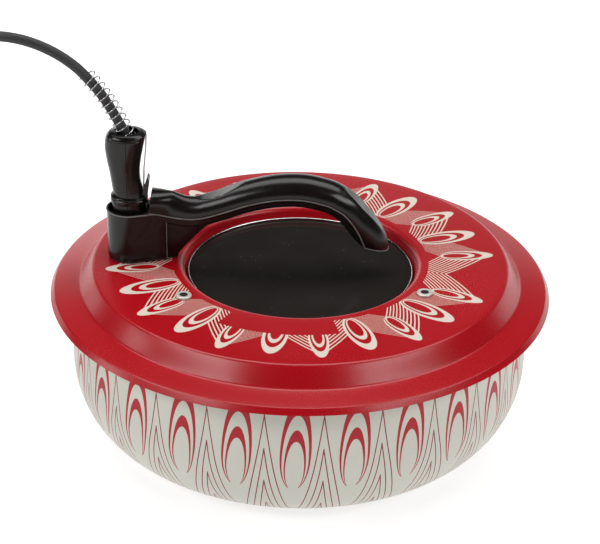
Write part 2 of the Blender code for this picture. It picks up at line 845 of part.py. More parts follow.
def make_terminals():
    low = element_end_level() + GAP
    for side, pole in POLES:
        place = terminal_place(side)
        radius = TERMINAL_RADIUS
        drum(f"element_terminal_{pole}", radius, radius, low, low + TERMINAL_LENGTH, place, "brass")
        bead = ring(f"element_bead_{pole}", radius + GAP, BEAD_RADIUS, low, low + BEAD_HEIGHT, "ceramic",
                    steps=SMALL_STEPS)
        bead.location = (*place, 0.0)


def clip_outline():
    """Side view of a clip, from the screw outwards: a tail under the reflector, a hook round the element."""
    tube_centre = Vector((ELEMENT_RING_RADIUS, element_level()))
    inner = ELEMENT_TUBE_RADIUS + GAP
    start = math.radians(90.0)
    sweep = CLIP_HOOK_ANGLE - start
    angles = [start + sweep * step / CLIP_ARC_STEPS for step in range(CLIP_ARC_STEPS + 1)]
    outside = [tube_centre + polar(inner + CLIP_THICKNESS, angle) for angle in angles]
    inside = [tube_centre + polar(inner, angle) for angle in reversed(angles)]
    tail = SCREW_CIRCLE_RADIUS - CLIP_TAIL
    return [Vector((tail, clip_level())), *outside, *inside, Vector((tail, clip_level() - CLIP_THICKNESS))]


def make_clips():
    for number, angle in enumerate(SCREW_ANGLES, 1):
        matrix = Matrix.Rotation(angle, 4, "Z") @ upright_plane()
        clip = extruded(f"element_clip_{number}", [clip_outline()], CLIP_WIDTH, matrix, "bright_metal")
        place = polar(SCREW_CIRCLE_RADIUS, angle)
        radius = SCREW_SHANK_RADIUS + GAP
        low = clip_level() - CLIP_THICKNESS - OVERRUN
        cut(clip, drum(f"clip_hole_{number}", radius, radius, low, clip_level() + OVERRUN, place, None))


# Lid screws with their spacers and nuts
def screw_outline():
    head = plateau_level() + GAP
    top = head + SCREW_HEAD_HEIGHT
    tip = nut_level() - SCREW_TIP
    return (
        (0.0, top - SCREW_RECESS_DEPTH),
        (SCREW_RECESS_RADIUS, top - SCREW_RECESS_DEPTH),
        (SCREW_RECESS_RADIUS, top),
        (SCREW_HEAD_RADIUS - SCREW_HEAD_EDGE, top),
        (SCREW_HEAD_RADIUS, top - SCREW_HEAD_EDGE),
        (SCREW_HEAD_RADIUS, head),
        (SCREW_SHANK_RADIUS, head),
        (SCREW_SHANK_RADIUS, tip),
        (0.0, tip),
    )


def nut_level():
    return clip_level() - CLIP_THICKNESS - GAP - NUT_HEIGHT


def make_lid_screws():
    for number, angle in enumerate(SCREW_ANGLES, 1):
        place = polar(SCREW_CIRCLE_RADIUS, angle)
        screw = turned(f"lid_screw_{number}", screw_outline(), "bright_metal", steps=SMALL_STEPS)
        screw.location = (*place, 0.0)
        bore = SCREW_SHANK_RADIUS + GAP
        low = reflector_level() + GAP
        high = low + SPACER_HEIGHT
        spacer = ring(f"reflector_spacer_{number}", bore, SPACER_RADIUS, low, high, "aluminium", SMALL_STEPS)
        spacer.location = (*place, 0.0)
        make_nut(number, place, bore)


def make_nut(number, place, bore):
    low = nut_level()
    high = low + NUT_HEIGHT
    nut = drum(f"lid_nut_{number}", NUT_RADIUS, NUT_RADIUS, low, high, place, "bright_metal", steps=NUT_SIDES)
    cut(nut, drum(f"nut_bore_{number}", bore, bore, low - OVERRUN, high + OVERRUN, place, None))


# Handle housing
def post_outline(lip=0.0):
    """Plan of the post: round at the inlet, then flanks that draw in towards the window."""
    centre = Vector((-POST_DISTANCE, 0.0))
    radius = POST_RADIUS + lip
    corner = Vector((NECK_REACH, NECK_HALF_WIDTH + lip))
    touching = math.atan2(corner.y, corner.x) + math.acos(radius / corner.length)
    sweep = math.tau - 2 * touching
    points = [centre + corner]
    for step in range(POST_ARC_STEPS + 1):
        points.append(centre + polar(radius, touching + sweep * step / POST_ARC_STEPS))
    points.append(centre + Vector((corner.x, -corner.y)))
    return points


def grip_start():
    return SOCKET_LENGTH / 2 + SOCKET_WALL - POST_DISTANCE


def grip_path():
    return [
        Vector((grip_start() + GRIP_REACH * reach_share, 0.0, post_top() + GRIP_RISE * rise_share))
        for reach_share, rise_share, *_ in GRIP_STATION_SHARES
    ]


def flat_drop(reach_share):
    """How far the crown is cut down at a place along the grip, where one of its flats lies."""
    drop = 0.0
    for start, end in GRIP_FLAT_SPANS:
        from_middle = (2 * reach_share - start - end) / (end - start)
        drop = max(drop, GRIP_FLAT_DEPTH * (1 - from_middle * from_middle))
    return drop


def grip_sections():
    """Sections of the grip: a crown with its flats, the moulding lip at its edge, and the belly below."""
    path = grip_path()
    sections = []
    for index, (reach_share, _, width_share, crown_share, belly_share, lean) in enumerate(GRIP_STATION_SHARES):
        before = path[max(index - 1, 0)]
        after = path[min(index + 1, len(path) - 1)]
        up = (after - before).normalized().cross(Y_AXIS) if index else Z_AXIS
        up = Matrix.Rotation(lean, 3, Y_AXIS) @ up
        half_width = GRIP_HALF_WIDTH * width_share
        crown = GRIP_CROWN * crown_share
        belly = GRIP_BELLY * belly_share
        flat = crown - flat_drop(reach_share)
        lip = half_width + SEAM_LIP
        inset = half_width * GRIP_BELLY_SHARES[-1][0]
        places = [(lip, 0.0)]
        for step in range(GRIP_CROWN_STEPS + 1):
            angle = math.pi * step / GRIP_CROWN_STEPS
            lift = crown * max(0.0, math.sin(angle)) ** GRIP_CROWN_POWER
            places.append((half_width * math.cos(angle), min(lift, flat)))
        places.extend(((-lip, 0.0), (-lip, -SEAM_LIP_HEIGHT), (-inset, -SEAM_LIP_HEIGHT)))
        places.extend((half_width * side, -belly * depth) for side, depth in GRIP_BELLY_SHARES)
        places.extend(((inset, -SEAM_LIP_HEIGHT), (lip, -SEAM_LIP_HEIGHT)))
        sections.append([path[index] + Y_AXIS * across + up * lift for across, lift in places])
    return sections


def web_outline():
    """Side view of the web that carries the grip down to the post's foot."""
    foot_x = WEB_FOOT - POST_DISTANCE
    low = housing_level()
    rise = post_top() + GRIP_RISE * WEB_TOP_SHARE - low
    back_x = NECK_REACH - POST_DISTANCE - WEB_HALF_THICKNESS
    edge = [Vector((foot_x + WEB_REACH * run, low + rise * up)) for run, up in WEB_EDGE_SHARES]
    return [Vector((back_x, low)), *edge, Vector((back_x, low + rise))]


def make_housing():
    low = housing_level()
    high = post_top()
    middle = Matrix.Translation((0.0, 0.0, (low + high) / 2))
    housing = extruded("handle_housing", [post_outline()], high - low, middle, "black_bakelite")
    boolean(housing, lofted("grip_form", grip_sections(), None), "UNION")
    lip_middle = Matrix.Translation((0.0, 0.0, high - SEAM_LIP - SEAM_LIP_HEIGHT / 2))
    lip = extruded("lip_form", [post_outline(SEAM_LIP)], SEAM_LIP_HEIGHT, lip_middle, None)
    boolean(housing, lip, "UNION")
    web = extruded("web_form", [web_outline()], 2 * WEB_HALF_THICKNESS, upright_plane(), None)
    boolean(housing, web, "UNION")
    centre = (-POST_DISTANCE, 0.0)
    floor = high - SOCKET_DEPTH
    socket = drum("socket_cutter", SOCKET_LENGTH / 2, SOCKET_WIDTH / 2, floor, high + OVERRUN, centre, None,
                  steps=SOCKET_STEPS)
    cavity = drum("cavity_cutter", CAVITY_RADIUS, CAVITY_RADIUS, low - OVERRUN, floor + OVERRUN, centre, None,
                  steps=SOCKET_STEPS)
    cut(housing, socket, cavity)
    for number, place in enumerate(housing_screw_places(), 1):
        radius = HOUSING_SCREW_RADIUS + GAP
        top = low + HOUSING_SCREW_BITE + GAP
        cut(housing, drum(f"housing_pilot_{number}", radius, radius, low - OVERRUN, top, place, None))


def make_housing_seal():
    middle = Matrix.Translation((0.0, 0.0, plateau_level() + GAP + HOUSING_SEAL / 2))
    holes = [circle_outline(CAVITY_RADIUS, (-POST_DISTANCE, 0.0), SOCKET_STEPS)]
    holes.extend(circle_outline(HOUSING_SCREW_RADIUS + GAP, place) for place in housing_screw_places())
    extruded("housing_seal", [post_outline(), *holes], HOUSING_SEAL, middle, "silicone")


def make_housing_screws():
    head_top = plateau_level() - LID_SHEET - GAP
    head_low = head_top - HOUSING_SCREW_HEAD_HEIGHT
    tip = housing_level() + HOUSING_SCREW_BITE
    outline = (
        (0.0, tip),
        (HOUSING_SCREW_RADIUS, tip),
        (HOUSING_SCREW_RADIUS, head_top),
        (HOUSING_SCREW_HEAD_RADIUS, head_top),
        (HOUSING_SCREW_HEAD_RADIUS, head_low),
        (0.0, head_low),
    )
    for number, place in enumerate(housing_screw_places(), 1):
        turned(f"housing_screw_{number}", outline, "bright_metal", steps=SMALL_STEPS).location = (*place, 0.0)


# Inlet
def make_inlet_block():
    low = block_level()
    high = block_top()
    half_length = SOCKET_LENGTH / 2 - GAP
    half_width = SOCKET_WIDTH / 2 - GAP
    inlet = drum("inlet_block", half_length, half_width, low, high, (-POST_DISTANCE, 0.0), "ceramic",
                 steps=SOCKET_STEPS)
    for side, pole in POLES:
        place = (connector_x(), side * PIN_HALF_SPACING)
        radius = PIN_RADIUS + GAP
        cut(inlet, drum(f"pin_bore_{pole}", radius, radius, low - OVERRUN, high + OVERRUN, place, None))


def make_inlet_pins():
    low = block_level() - PIN_TAIL
    high = block_top() + PIN_RISE
    outline = (
        (0.0, high),
        (PIN_RADIUS - PIN_DOME, high),
        (PIN_RADIUS, high - PIN_DOME),
        (PIN_RADIUS, low),
        (0.0, low),
    )
    for side, pole in POLES:
        pin = turned(f"inlet_pin_{pole}", outline, "brass", steps=SMALL_STEPS)
        pin.location = (connector_x(), side * PIN_HALF_SPACING, 0.0)


def make_earth_spring():
    """A bowed leaf against the socket's wall, which presses on the connector's earth strip."""
    oval_share = math.sqrt(1 - (EARTH_SPRING_WIDTH / SOCKET_WIDTH) ** 2)
    wall = SOCKET_LENGTH / 2 * oval_share - GAP - POST_DISTANCE
    low = block_top() + GAP
    middle = low + EARTH_SPRING_HEIGHT / 2
    high = low + EARTH_SPRING_HEIGHT
    inner = wall - EARTH_SPRING_THICKNESS
    outline = [
        Vector((wall, low)),
        Vector((wall - EARTH_SPRING_BULGE, middle)),
        Vector((wall, high)),
        Vector((inner, high)),
        Vector((inner - EARTH_SPRING_BULGE, middle)),
        Vector((inner, low)),
    ]
    extruded("earth_spring", [outline], EARTH_SPRING_WIDTH, upright_plane(), "bright_metal")


def make_leads():
    """Short leads from the element's terminals to the pins, and from the inlet block to a housing screw."""
    for side, pole in POLES:
        x, y = terminal_place(side)
        start = Vector((x, y, element_end_level() + TERMINAL_LENGTH + 2 * GAP))
        end = Vector((connector_x(), side * PIN_HALF_SPACING, block_level() - PIN_TAIL - GAP))
        rise = (end.z - start.z) / 3
        route = (start, start + Z_AXIS * rise, end - Z_AXIS * rise, end)
        tube(f"lead_{pole}", smooth_route(route, LEAD_RADIUS), LEAD_RADIUS, "wire_sleeve")
    head_x = HOUSING_SCREW_REACH - POST_DISTANCE - HOUSING_SCREW_HEAD_RADIUS - GAP
    head_level = plateau_level() - LID_SHEET - GAP - HOUSING_SCREW_HEAD_HEIGHT / 2
    lead_x = CAVITY_RADIUS - EARTH_LEAD_WALL - POST_DISTANCE
    half_spacing = HOUSING_SCREW_HALF_SPACING
    route = (
        (lead_x, 0.0, block_level() - GAP),
        (lead_x, 0.0, plateau_level()),
        (lead_x, 0.0, head_level + LEAD_RADIUS),
        ((lead_x + head_x) / 2, half_spacing / 2, head_level),
        (head_x, half_spacing, head_level),
    )
    tube("lead_earth", smooth_route(route, 2 * LEAD_RADIUS), LEAD_RADIUS, "wire_sleeve")


# Connector
def connector_sections():
    sections = []
    for height_share, length_share, width_share in CONNECTOR_SECTION_SHARES:
        section = []
        for step in range(CONNECTOR_STEPS):
            angle = math.tau * step / CONNECTOR_STEPS
            across = math.copysign(abs(math.cos(angle)) ** CONNECTOR_SECTION_POWER, math.cos(angle))
            along = math.copysign(abs(math.sin(angle)) ** CONNECTOR_SECTION_POWER, math.sin(angle))
            x = connector_x() + CONNECTOR_HALF_LENGTH * length_share * across
            y = CONNECTOR_HALF_WIDTH * width_share * along
            section.append(Vector((x, y, along_connector(height_share))))
        sections.append(section)
    return sections


def plug_in_half_length():
    return CONNECTOR_HALF_LENGTH * CONNECTOR_SECTION_SHARES[0][1]


def strip_face(clearance):
    """Side view of the earth strip's inner face, from its foot up, moved inwards by a clearance."""
    base = connector_x() + plug_in_half_length() + 2 * GAP
    return [
        Vector((base + STRIP_STAND * stand - clearance, along_connector(height)))
        for height, stand in STRIP_SHARES
    ]


def strip_outline(clearance=0.0):
    inner = strip_face(clearance)
    outer = strip_face(-clearance - STRIP_THICKNESS)
    if clearance:
        inner[0].y -= OVERRUN + along_connector(STRIP_SHARES[0][0]) - connector_level()
        outer[0].y = inner[0].y
        inner[-1].y += clearance
        outer[-1].y += clearance
    return [*inner, *reversed(outer)]


def strip_outer_x():
    return strip_face(-STRIP_THICKNESS)[-1].x


def make_earth_strip():
    extruded("earth_strip", [strip_outline()], STRIP_WIDTH, upright_plane(), "bright_metal")


def join_screw_bores():
    """The bore of the screw that joins the shells, and the seat that its head is sunk in."""
    level = along_connector(JOIN_SCREW_SHARE)
    outside = connector_x() - CONNECTOR_HALF_LENGTH - OVERRUN
    seat = connector_x() - JOIN_SCREW_REACH + GAP
    tip = connector_x() + JOIN_SCREW_BITE + GAP
    start = (outside, 0.0, level)
    shank = rod("join_screw_bore", JOIN_SCREW_RADIUS + GAP, start, (tip, 0.0, level), None)
    head = rod("join_screw_seat", JOIN_SCREW_HEAD_RADIUS + GAP, start, (seat, 0.0, level), None)
    return [shank, head]


def make_join_screw():
    """The screw that clamps the two shells, turned along its own length and laid over."""
    head = JOIN_SCREW_HEAD_HEIGHT
    tip = -JOIN_SCREW_REACH - JOIN_SCREW_BITE
    outline = (
        (0.0, head),
        (JOIN_SCREW_HEAD_RADIUS, head),
        (JOIN_SCREW_HEAD_RADIUS, 0.0),
        (JOIN_SCREW_RADIUS, 0.0),
        (JOIN_SCREW_RADIUS, tip),
        (0.0, tip),
    )
    screw = turned("connector_screw", outline, "bright_metal", steps=SMALL_STEPS)
    screw.location = (connector_x() - JOIN_SCREW_REACH, 0.0, along_connector(JOIN_SCREW_SHARE))
    screw.rotation_euler = (0.0, math.radians(-90.0), 0.0)


def shell_cutters():
    """What both shells are cut by: contact bores, cord bore, spring mouth, strip slot and screw bore."""
    x = connector_x()
    low = connector_level()
    top = connector_top()
    cutters = []
    bore = PIN_RADIUS + CONTACT_CLEARANCE + CONTACT_WALL + GAP
    for side, pole in POLES:
        place = (x, side * PIN_HALF_SPACING)
        high = low + CONTACT_LENGTH + 2 * GAP
        cutters.append(drum(f"contact_bore_{pole}", bore, bore, low - OVERRUN, high, place, None))
    cord = CORD_RADIUS + GAP
    mouth = SHELL_MOUTH_RADIUS
    mouth_floor = top - SHELL_MOUTH_DEPTH
    cutters.append(drum("cord_bore", cord, cord, top - SHELL_CORD_DEPTH, top + OVERRUN, (x, 0.0), None))
    cutters.append(drum("spring_mouth", mouth, mouth, mouth_floor, top + OVERRUN, (x, 0.0), None,
                        steps=SOCKET_STEPS))
    slot = extruded("strip_slot", [strip_outline(GAP)], STRIP_WIDTH + 2 * GAP, upright_plane(), None)
    cutters.append(slot)
    cutters.extend(join_screw_bores())
    return cutters


def strip_guard():
    """A horn on the collar that covers the strip where it dives into the post."""
    inner = connector_x() + plug_in_half_length()
    face = strip_outer_x() + GAP
    low, high = (along_connector(share) for share in GUARD_ROOT_SHARES)
    edge = [
        Vector((face + GUARD_THICKNESS * out_share, along_connector(height_share)))
        for height_share, out_share in GUARD_EDGE_SHARES
    ]
    outline = [Vector((inner, low)), *edge, Vector((face, high)), Vector((inner, high))]
    return extruded("guard_form", [outline], STRIP_WIDTH + 2 * (GAP + GUARD_CHEEK), upright_plane(), None)


def make_shells():
    cutters = shell_cutters()
    guard = strip_guard()
    reach = 2 * CONNECTOR_HALF_LENGTH
    x = connector_x()
    low = connector_level() - OVERRUN
    high = connector_top() + OVERRUN
    for name, side in (("connector_shell_outer", -1), ("connector_shell_inner", 1)):
        shell = lofted(name, connector_sections(), "black_bakelite")
        if side > 0:
            boolean(shell, guard, "UNION")
        near = x + side * GAP / 2
        far = x - side * reach
        corners = ((min(near, far), -reach, low), (max(near, far), reach, high))
        cut(shell, block(f"{name}_split", *corners, None), *cutters)


def make_contact_tubes():
    low = connector_level() + GAP
    inner = PIN_RADIUS + CONTACT_CLEARANCE
    for side, pole in POLES:
        high = low + CONTACT_LENGTH
        contact = ring(f"contact_tube_{pole}", inner, inner + CONTACT_WALL, low, high, "brass", SMALL_STEPS)
        contact.location = (connector_x(), side * PIN_HALF_SPACING, 0.0)


# Spring and mains lead
def beside_post(route):
    """A route of the lead, moved along with the connector."""
    shift = connector_x() - CORD_UPPER_ROUTE[0][0]
    return [(x + shift, y, z) for x, y, z in route]


def coil_centre():
    return Vector((connector_x() - COIL_DISTANCE, 0.0))


def spring_points():
    """A wire wound round the lead: close turns in the connector's mouth, then open ones up to the bend."""
    fine = smooth_route(beside_post(CORD_UPPER_ROUTE), SPRING_PATH_STEP)
    floor = connector_top() - SHELL_MOUTH_DEPTH + SPRING_WIRE_RADIUS + GAP
    first = next(index for index, point in enumerate(fine) if point.z > floor)
    closed_length = SPRING_CLOSED_TURNS * SPRING_CLOSED_PITCH
    open_pitch = (SPRING_LENGTH - closed_length) / SPRING_OPEN_TURNS
    points = []
    total = round((SPRING_CLOSED_TURNS + SPRING_OPEN_TURNS) * SPRING_TURN_POINTS)
    for number in range(total + 1):
        turns = number / SPRING_TURN_POINTS
        closed = min(turns, SPRING_CLOSED_TURNS)
        distance = closed * SPRING_CLOSED_PITCH + (turns - closed) * open_pitch
        index = first + round(distance / SPRING_PATH_STEP)
        along = (fine[index + 1] - fine[index - 1]).normalized()
        outward = Y_AXIS.cross(along)
        angle = math.tau * turns
        arm = outward * math.cos(angle) + Y_AXIS * math.sin(angle)
        points.append(fine[index] + outward * SPRING_OFFSET + arm * SPRING_RADIUS)
    return points


def coil_points():
    """Two layers of turns: in below, out again above, with the climb where the spiral reverses."""
    turns = 2 * COIL_LAYER_TURNS
    centre = coil_centre()
    radius_out = COIL_MID_RADIUS + COIL_PITCH * COIL_LAYER_TURNS / 2
    level = coil_level()
    run = 2 * CORD_RADIUS
    points = [(centre.x + radius_out, run, level)]
    for number in range(turns * COIL_TURN_POINTS + 1):
        turn = number / COIL_TURN_POINTS
        from_reverse = abs(turn - COIL_LAYER_TURNS)
        radius = radius_out - COIL_PITCH * (COIL_LAYER_TURNS - from_reverse)
        climb = min(1.0, max(0.0, (turn - COIL_LAYER_TURNS) / COIL_CLIMB_TURNS + 1 / 2))
        climb = climb * climb * (3 - 2 * climb)
        place = centre + polar(radius, -math.tau * turn)
        points.append((*place, level + COIL_PITCH * climb))
    points.append((centre.x + radius_out, -run, level + COIL_PITCH))
    return points


def least_gap(points, radius, apart):
    """Least clear distance between stretches of a wound tube that lie at least so many points apart."""
    least = math.inf
    for number, first in enumerate(points):
        for second in points[number + apart:]:
            least = min(least, (Vector(first) - Vector(second)).length)
    return least - 2 * radius


def make_spring():
    points = spring_points()
    tube("cord_spring", points, SPRING_WIRE_RADIUS, "bright_metal", resolution=1)
    gap = least_gap(points, SPRING_WIRE_RADIUS, SPRING_TURN_POINTS // 2)
    print(f"cord_spring: least gap between turns {gap / MILLIMETRE:.2f} mm")


def make_upper_lead():
    route = smooth_route(beside_post(CORD_UPPER_ROUTE), CORD_POINT_STEP)
    tube("cord_upper", route, CORD_RADIUS, "black_cord")


def make_floor_lead():
    for name, places in (("cord_lower", CORD_LOWER_ROUTE), ("cord_tail", CORD_TAIL_ROUTE)):
        route = smooth_route(beside_post(places), CORD_POINT_STEP)
        tube(name, route, CORD_RADIUS, "black_cord")
    points = coil_points()
    tube("cord_coil", points, CORD_RADIUS, "black_cord", resolution=1)
    gap = least_gap(points, CORD_RADIUS, COIL_TURN_POINTS // 2)
    print(f"cord_coil: least gap between turns {gap / MILLIMETRE:.2f} mm")


def make_tie():
    """A closed band round the turns, on the side of the coil away from the pan."""
    half_width = CORD_RADIUS + COIL_PITCH * (COIL_LAYER_TURNS - 1) / 2 + TIE_SLACK
    half_height = (2 * CORD_RADIUS + COIL_PITCH) / 2
    centre = coil_centre()
    middle = Vector((centre.x - COIL_MID_RADIUS, coil_level() + COIL_PITCH / 2))
    outlines = []
    for grow in (GAP + TIE_THICKNESS, GAP):
        outlines.append(band_outline(middle, half_width + grow, half_height + grow, CORD_RADIUS + grow))
    matrix = upright_plane((0.0, centre.y, 0.0))
    extruded("coil_tie", outlines, TIE_WIDTH, matrix, "silicone")


def band_outline(middle, half_width, half_height, radius):
    """A rectangle with round corners."""
    points = []
    for quarter in range(4):
        corner = polar(math.sqrt(2), math.radians(45.0 + 90.0 * quarter))
        centre = middle + Vector((corner.x * (half_width - radius), corner.y * (half_height - radius)))
        for step in range(TIE_CORNER_STEPS + 1):
            angle = math.radians(90.0) * (quarter + step / TIE_CORNER_STEPS)
            points.append(centre + polar(radius, angle))
    return points


# Mains plug
def plug_matrix():
    """Lays the plug down with its pins pointing away from the cord's end."""
    end = Vector(beside_post(CORD_TAIL_ROUTE)[-1])
    end.z = PLUG_RADIUS
    return Matrix.Translation(end - Y_AXIS * GAP) @ Matrix.Rotation(math.radians(90.0), 4, "X")


def plug_face():
    return RELIEF_LENGTH + GAP + PLUG_LENGTH


def make_plug():
    matrix = plug_matrix()
    relief = turned(
        "plug_relief",
        ((0.0, RELIEF_LENGTH), (RELIEF_ROOT_RADIUS, RELIEF_LENGTH), (RELIEF_TIP_RADIUS, 0.0), (0.0, 0.0)),
        "silicone",
        steps=SMALL_STEPS,
    )
    relief.matrix_world = matrix
    face = plug_face()
    outline = [(0.0, face), (PLUG_RADIUS - PLUG_EDGE, face), (PLUG_RADIUS, face - PLUG_EDGE)]
    for length_share, narrowing_share in PLUG_PROFILE_SHARES:
        radius = PLUG_RADIUS + (RELIEF_ROOT_RADIUS - PLUG_RADIUS) * narrowing_share
        outline.append((radius, face - PLUG_LENGTH * length_share))
    outline.append((0.0, face - PLUG_LENGTH))
    body = turned("plug_body", outline, "black_bakelite", steps=PLUG_STEPS)
    body.matrix_world = matrix
    for side, pole in POLES:
        make_plug_pin(body, matrix, side, pole)
    for number, side in enumerate((1, -1), 1):
        make_plug_clip(body, matrix, side, number)


def make_plug_pin(body, matrix, side, pole):
    """A round pin across the plug, lying level with its partner."""
    face = plug_face()
    tip = face + PLUG_PIN_LENGTH
    seat = face - PLUG_PIN_SEAT
    x = side * PLUG_PIN_HALF_SPACING
    start = matrix @ Vector((x, 0.0, seat + GAP))
    pin = rod(f"plug_pin_{pole}", PLUG_PIN_RADIUS, start, matrix @ Vector((x, 0.0, tip)), "brass")
    bevel = pin.modifiers.new("Round tip", "BEVEL")
    bevel.width = PLUG_PIN_RADIUS / 2
    bevel.segments = 2
    radius = PLUG_PIN_RADIUS + GAP
    end = matrix @ Vector((x, 0.0, face + OVERRUN))
    cut(body, rod(f"plug_pin_seat_{pole}", radius, matrix @ Vector((x, 0.0, seat)), end, None))


def make_plug_clip(body, matrix, side, number):
    """An earth clip in its notch, above or below the pins."""
    face = plug_face()
    outer = side * (PLUG_RADIUS + OVERRUN)
    floor = side * (PLUG_RADIUS - PLUG_NOTCH_DEPTH)
    half_width = PLUG_NOTCH_WIDTH / 2
    back = face - PLUG_NOTCH_LENGTH
    low = Vector((-half_width, min(outer, floor), back))
    high = Vector((half_width, max(outer, floor), face + OVERRUN))
    notch = block(f"plug_notch_{number}", low, high, None)
    notch.matrix_world = matrix
    cut(body, notch)
    inner = floor + side * GAP
    top = inner + side * PLUG_CLIP_THICKNESS
    low = Vector((GAP - half_width, min(inner, top), back + GAP))
    high = Vector((half_width - GAP, max(inner, top), face - GAP))
    block(f"plug_earth_clip_{number}", low, high, "bright_metal").matrix_world = matrix


# What moves together
def carry(name, location, nodes):
    """Hangs nodes on an empty that stands on their joint's axis, and gives that empty."""
    empty = bpy.data.objects.new(name, None)
    empty.location = location
    bpy.data.collections[PART_NAME].objects.link(empty)
    for node in nodes:
        node.parent = empty
        node.matrix_parent_inverse = Matrix.Translation(location).inverted()
    return empty


def new_parts(makers):
    """Runs the makers and gives the sub-parts that they add."""
    parts = bpy.data.collections[PART_NAME].objects
    before = set(parts)
    for maker in makers:
        maker()
    return [obj for obj in parts if obj not in before]


def main():
    clear_scene()
    make_collection(PART_NAME)
    make_collection(TOOLS)
    make_pan_body()
    connector = new_parts((
        make_shells, make_earth_strip, make_join_screw, make_contact_tubes, make_spring, make_upper_lead,
    ))
    pull = carry("connector_pull", (connector_x(), 0.0, post_top()), connector)
    lid = new_parts((
        make_lid_shell, make_window, make_reflector, make_element, make_terminals, make_clips,
        make_lid_screws, make_housing, make_housing_seal, make_housing_screws, make_inlet_block,
        make_inlet_pins, make_earth_spring, make_leads,
    ))
    carry("lid_lift", (0.0, 0.0, PAN_HEIGHT), [*lid, pull])
    make_floor_lead()
    make_tie()
    make_plug()


main()
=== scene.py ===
"""Electric cake maker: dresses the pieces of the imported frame; an add-on that is run as a script."""

import math
from functools import cache, partialmethod

import bmesh
import bpy
from bpy.props import FloatProperty, FloatVectorProperty, IntProperty, PointerProperty
from mathutils import Matrix, Vector


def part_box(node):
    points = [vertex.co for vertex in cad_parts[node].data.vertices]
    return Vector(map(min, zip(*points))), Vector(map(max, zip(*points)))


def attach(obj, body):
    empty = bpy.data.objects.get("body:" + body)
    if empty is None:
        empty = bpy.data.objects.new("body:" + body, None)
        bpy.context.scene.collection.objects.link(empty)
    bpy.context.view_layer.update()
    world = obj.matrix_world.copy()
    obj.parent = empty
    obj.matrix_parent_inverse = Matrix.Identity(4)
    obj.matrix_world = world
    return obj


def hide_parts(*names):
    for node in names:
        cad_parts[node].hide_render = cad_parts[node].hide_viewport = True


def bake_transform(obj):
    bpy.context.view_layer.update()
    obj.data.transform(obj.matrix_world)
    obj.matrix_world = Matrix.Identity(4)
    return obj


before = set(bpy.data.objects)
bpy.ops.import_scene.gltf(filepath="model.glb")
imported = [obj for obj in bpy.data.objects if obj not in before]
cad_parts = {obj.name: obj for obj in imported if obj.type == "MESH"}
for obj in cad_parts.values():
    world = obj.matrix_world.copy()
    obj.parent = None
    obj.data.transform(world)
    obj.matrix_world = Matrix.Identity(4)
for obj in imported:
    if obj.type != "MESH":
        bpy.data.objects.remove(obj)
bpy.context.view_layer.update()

bl_info = {
    "name": "Electric Cake Maker",
    "version": (1, 0, 0),
    "blender": (4, 5, 0),
    "location": "View3D > Sidebar > Cake Maker",
    "description": "Dresses a round electric cake pan with a heating lid, an arched handle and a mains lead",
    "category": "Object",
}

WELD = 0.00001
FULL_TURN = math.tau
QUARTER_TURN = math.radians(90.0)
SHARP_ANGLE = math.radians(32.0)
TUBE_SHARP_ANGLE = math.radians(60.0)
Y_AXIS = Vector((0.0, 1.0, 0.0))
Z_AXIS = Vector((0.0, 0.0, 1.0))

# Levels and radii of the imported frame
LID_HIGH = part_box("lid_shell")[1]
PAN_LOW, PAN_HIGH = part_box("pan_body")
GLASS_LOW, GLASS_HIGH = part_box("window_glass")
RING_LOW, RING_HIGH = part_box("window_ring")
SEAL_LOW, SEAL_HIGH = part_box("window_seal")
PLATEAU = LID_HIGH.z
PAN_BOTTOM = PAN_LOW.z


# Settings that a user may change
def colour_setting(name, description, value):
    return FloatVectorProperty(name=name, description=description, subtype="COLOR", default=value)


def length_setting(name, description, value, least):
    return FloatProperty(name=name, description=description, unit="LENGTH", default=value, min=least)


def camera_angle(name, degrees):
    value = math.radians(degrees)
    return FloatProperty(name=name, description="Of the camera", unit="ROTATION", default=value)


class CakePanSettings(bpy.types.PropertyGroup):
    ground: colour_setting("Ground", "Colour of the pan's lacquer", (0.600, 0.590, 0.520))
    print_red: colour_setting("Print", "Colour of the printed loops and arches", (0.400, 0.004, 0.014))
    motifs: IntProperty(name="Loops", description="Printed loops round the wall", default=26, min=3)
    line: length_setting("Line", "Width of the fine arches", 0.00068, 0.0001)


class CakeLidSettings(bpy.types.PropertyGroup):
    enamel: colour_setting("Enamel", "Colour of the lid", (0.375, 0.0020, 0.0070))
    print_cream: colour_setting("Print", "Colour of the printed petals", (0.700, 0.610, 0.520))
    petal_pairs: IntProperty(name="Petal pairs", description="Pairs of printed petals", default=12, min=2)
    sheet: length_setting("Sheet", "Thickness of the pressed sheet", 0.0012, 0.0005)


class CakeHandleSettings(bpy.types.PropertyGroup):
    bakelite: colour_setting("Bakelite", "Colour of the handle and plug", (0.0060, 0.0046, 0.0040))


class CakeLeadSettings(bpy.types.PropertyGroup):
    sheath: colour_setting("Sheath", "Colour of the mains lead", (0.018, 0.018, 0.019))
    radius: length_setting("Radius", "Radius of the mains lead", 0.0033, 0.001)


class CakeStageSettings(bpy.types.PropertyGroup):
    distance: length_setting("Distance", "From the camera to the point it aims at", 1.2995, 0.1)
    elevation: camera_angle("Elevation", 28.328)
    azimuth: camera_angle("Azimuth", 1.2)
    roll: camera_angle("Roll", 1.0225)
    lens: FloatProperty(name="Lens", description="Focal length in millimetres", default=117.086)
    floor: colour_setting("Floor", "Colour of the floor", (0.55, 0.55, 0.55))


SETTINGS = {
    "cake_pan": CakePanSettings,
    "cake_lid": CakeLidSettings,
    "cake_handle": CakeHandleSettings,
    "cake_lead": CakeLeadSettings,
    "cake_stage": CakeStageSettings,
}


def settings(name):
    return getattr(bpy.context.scene, name)


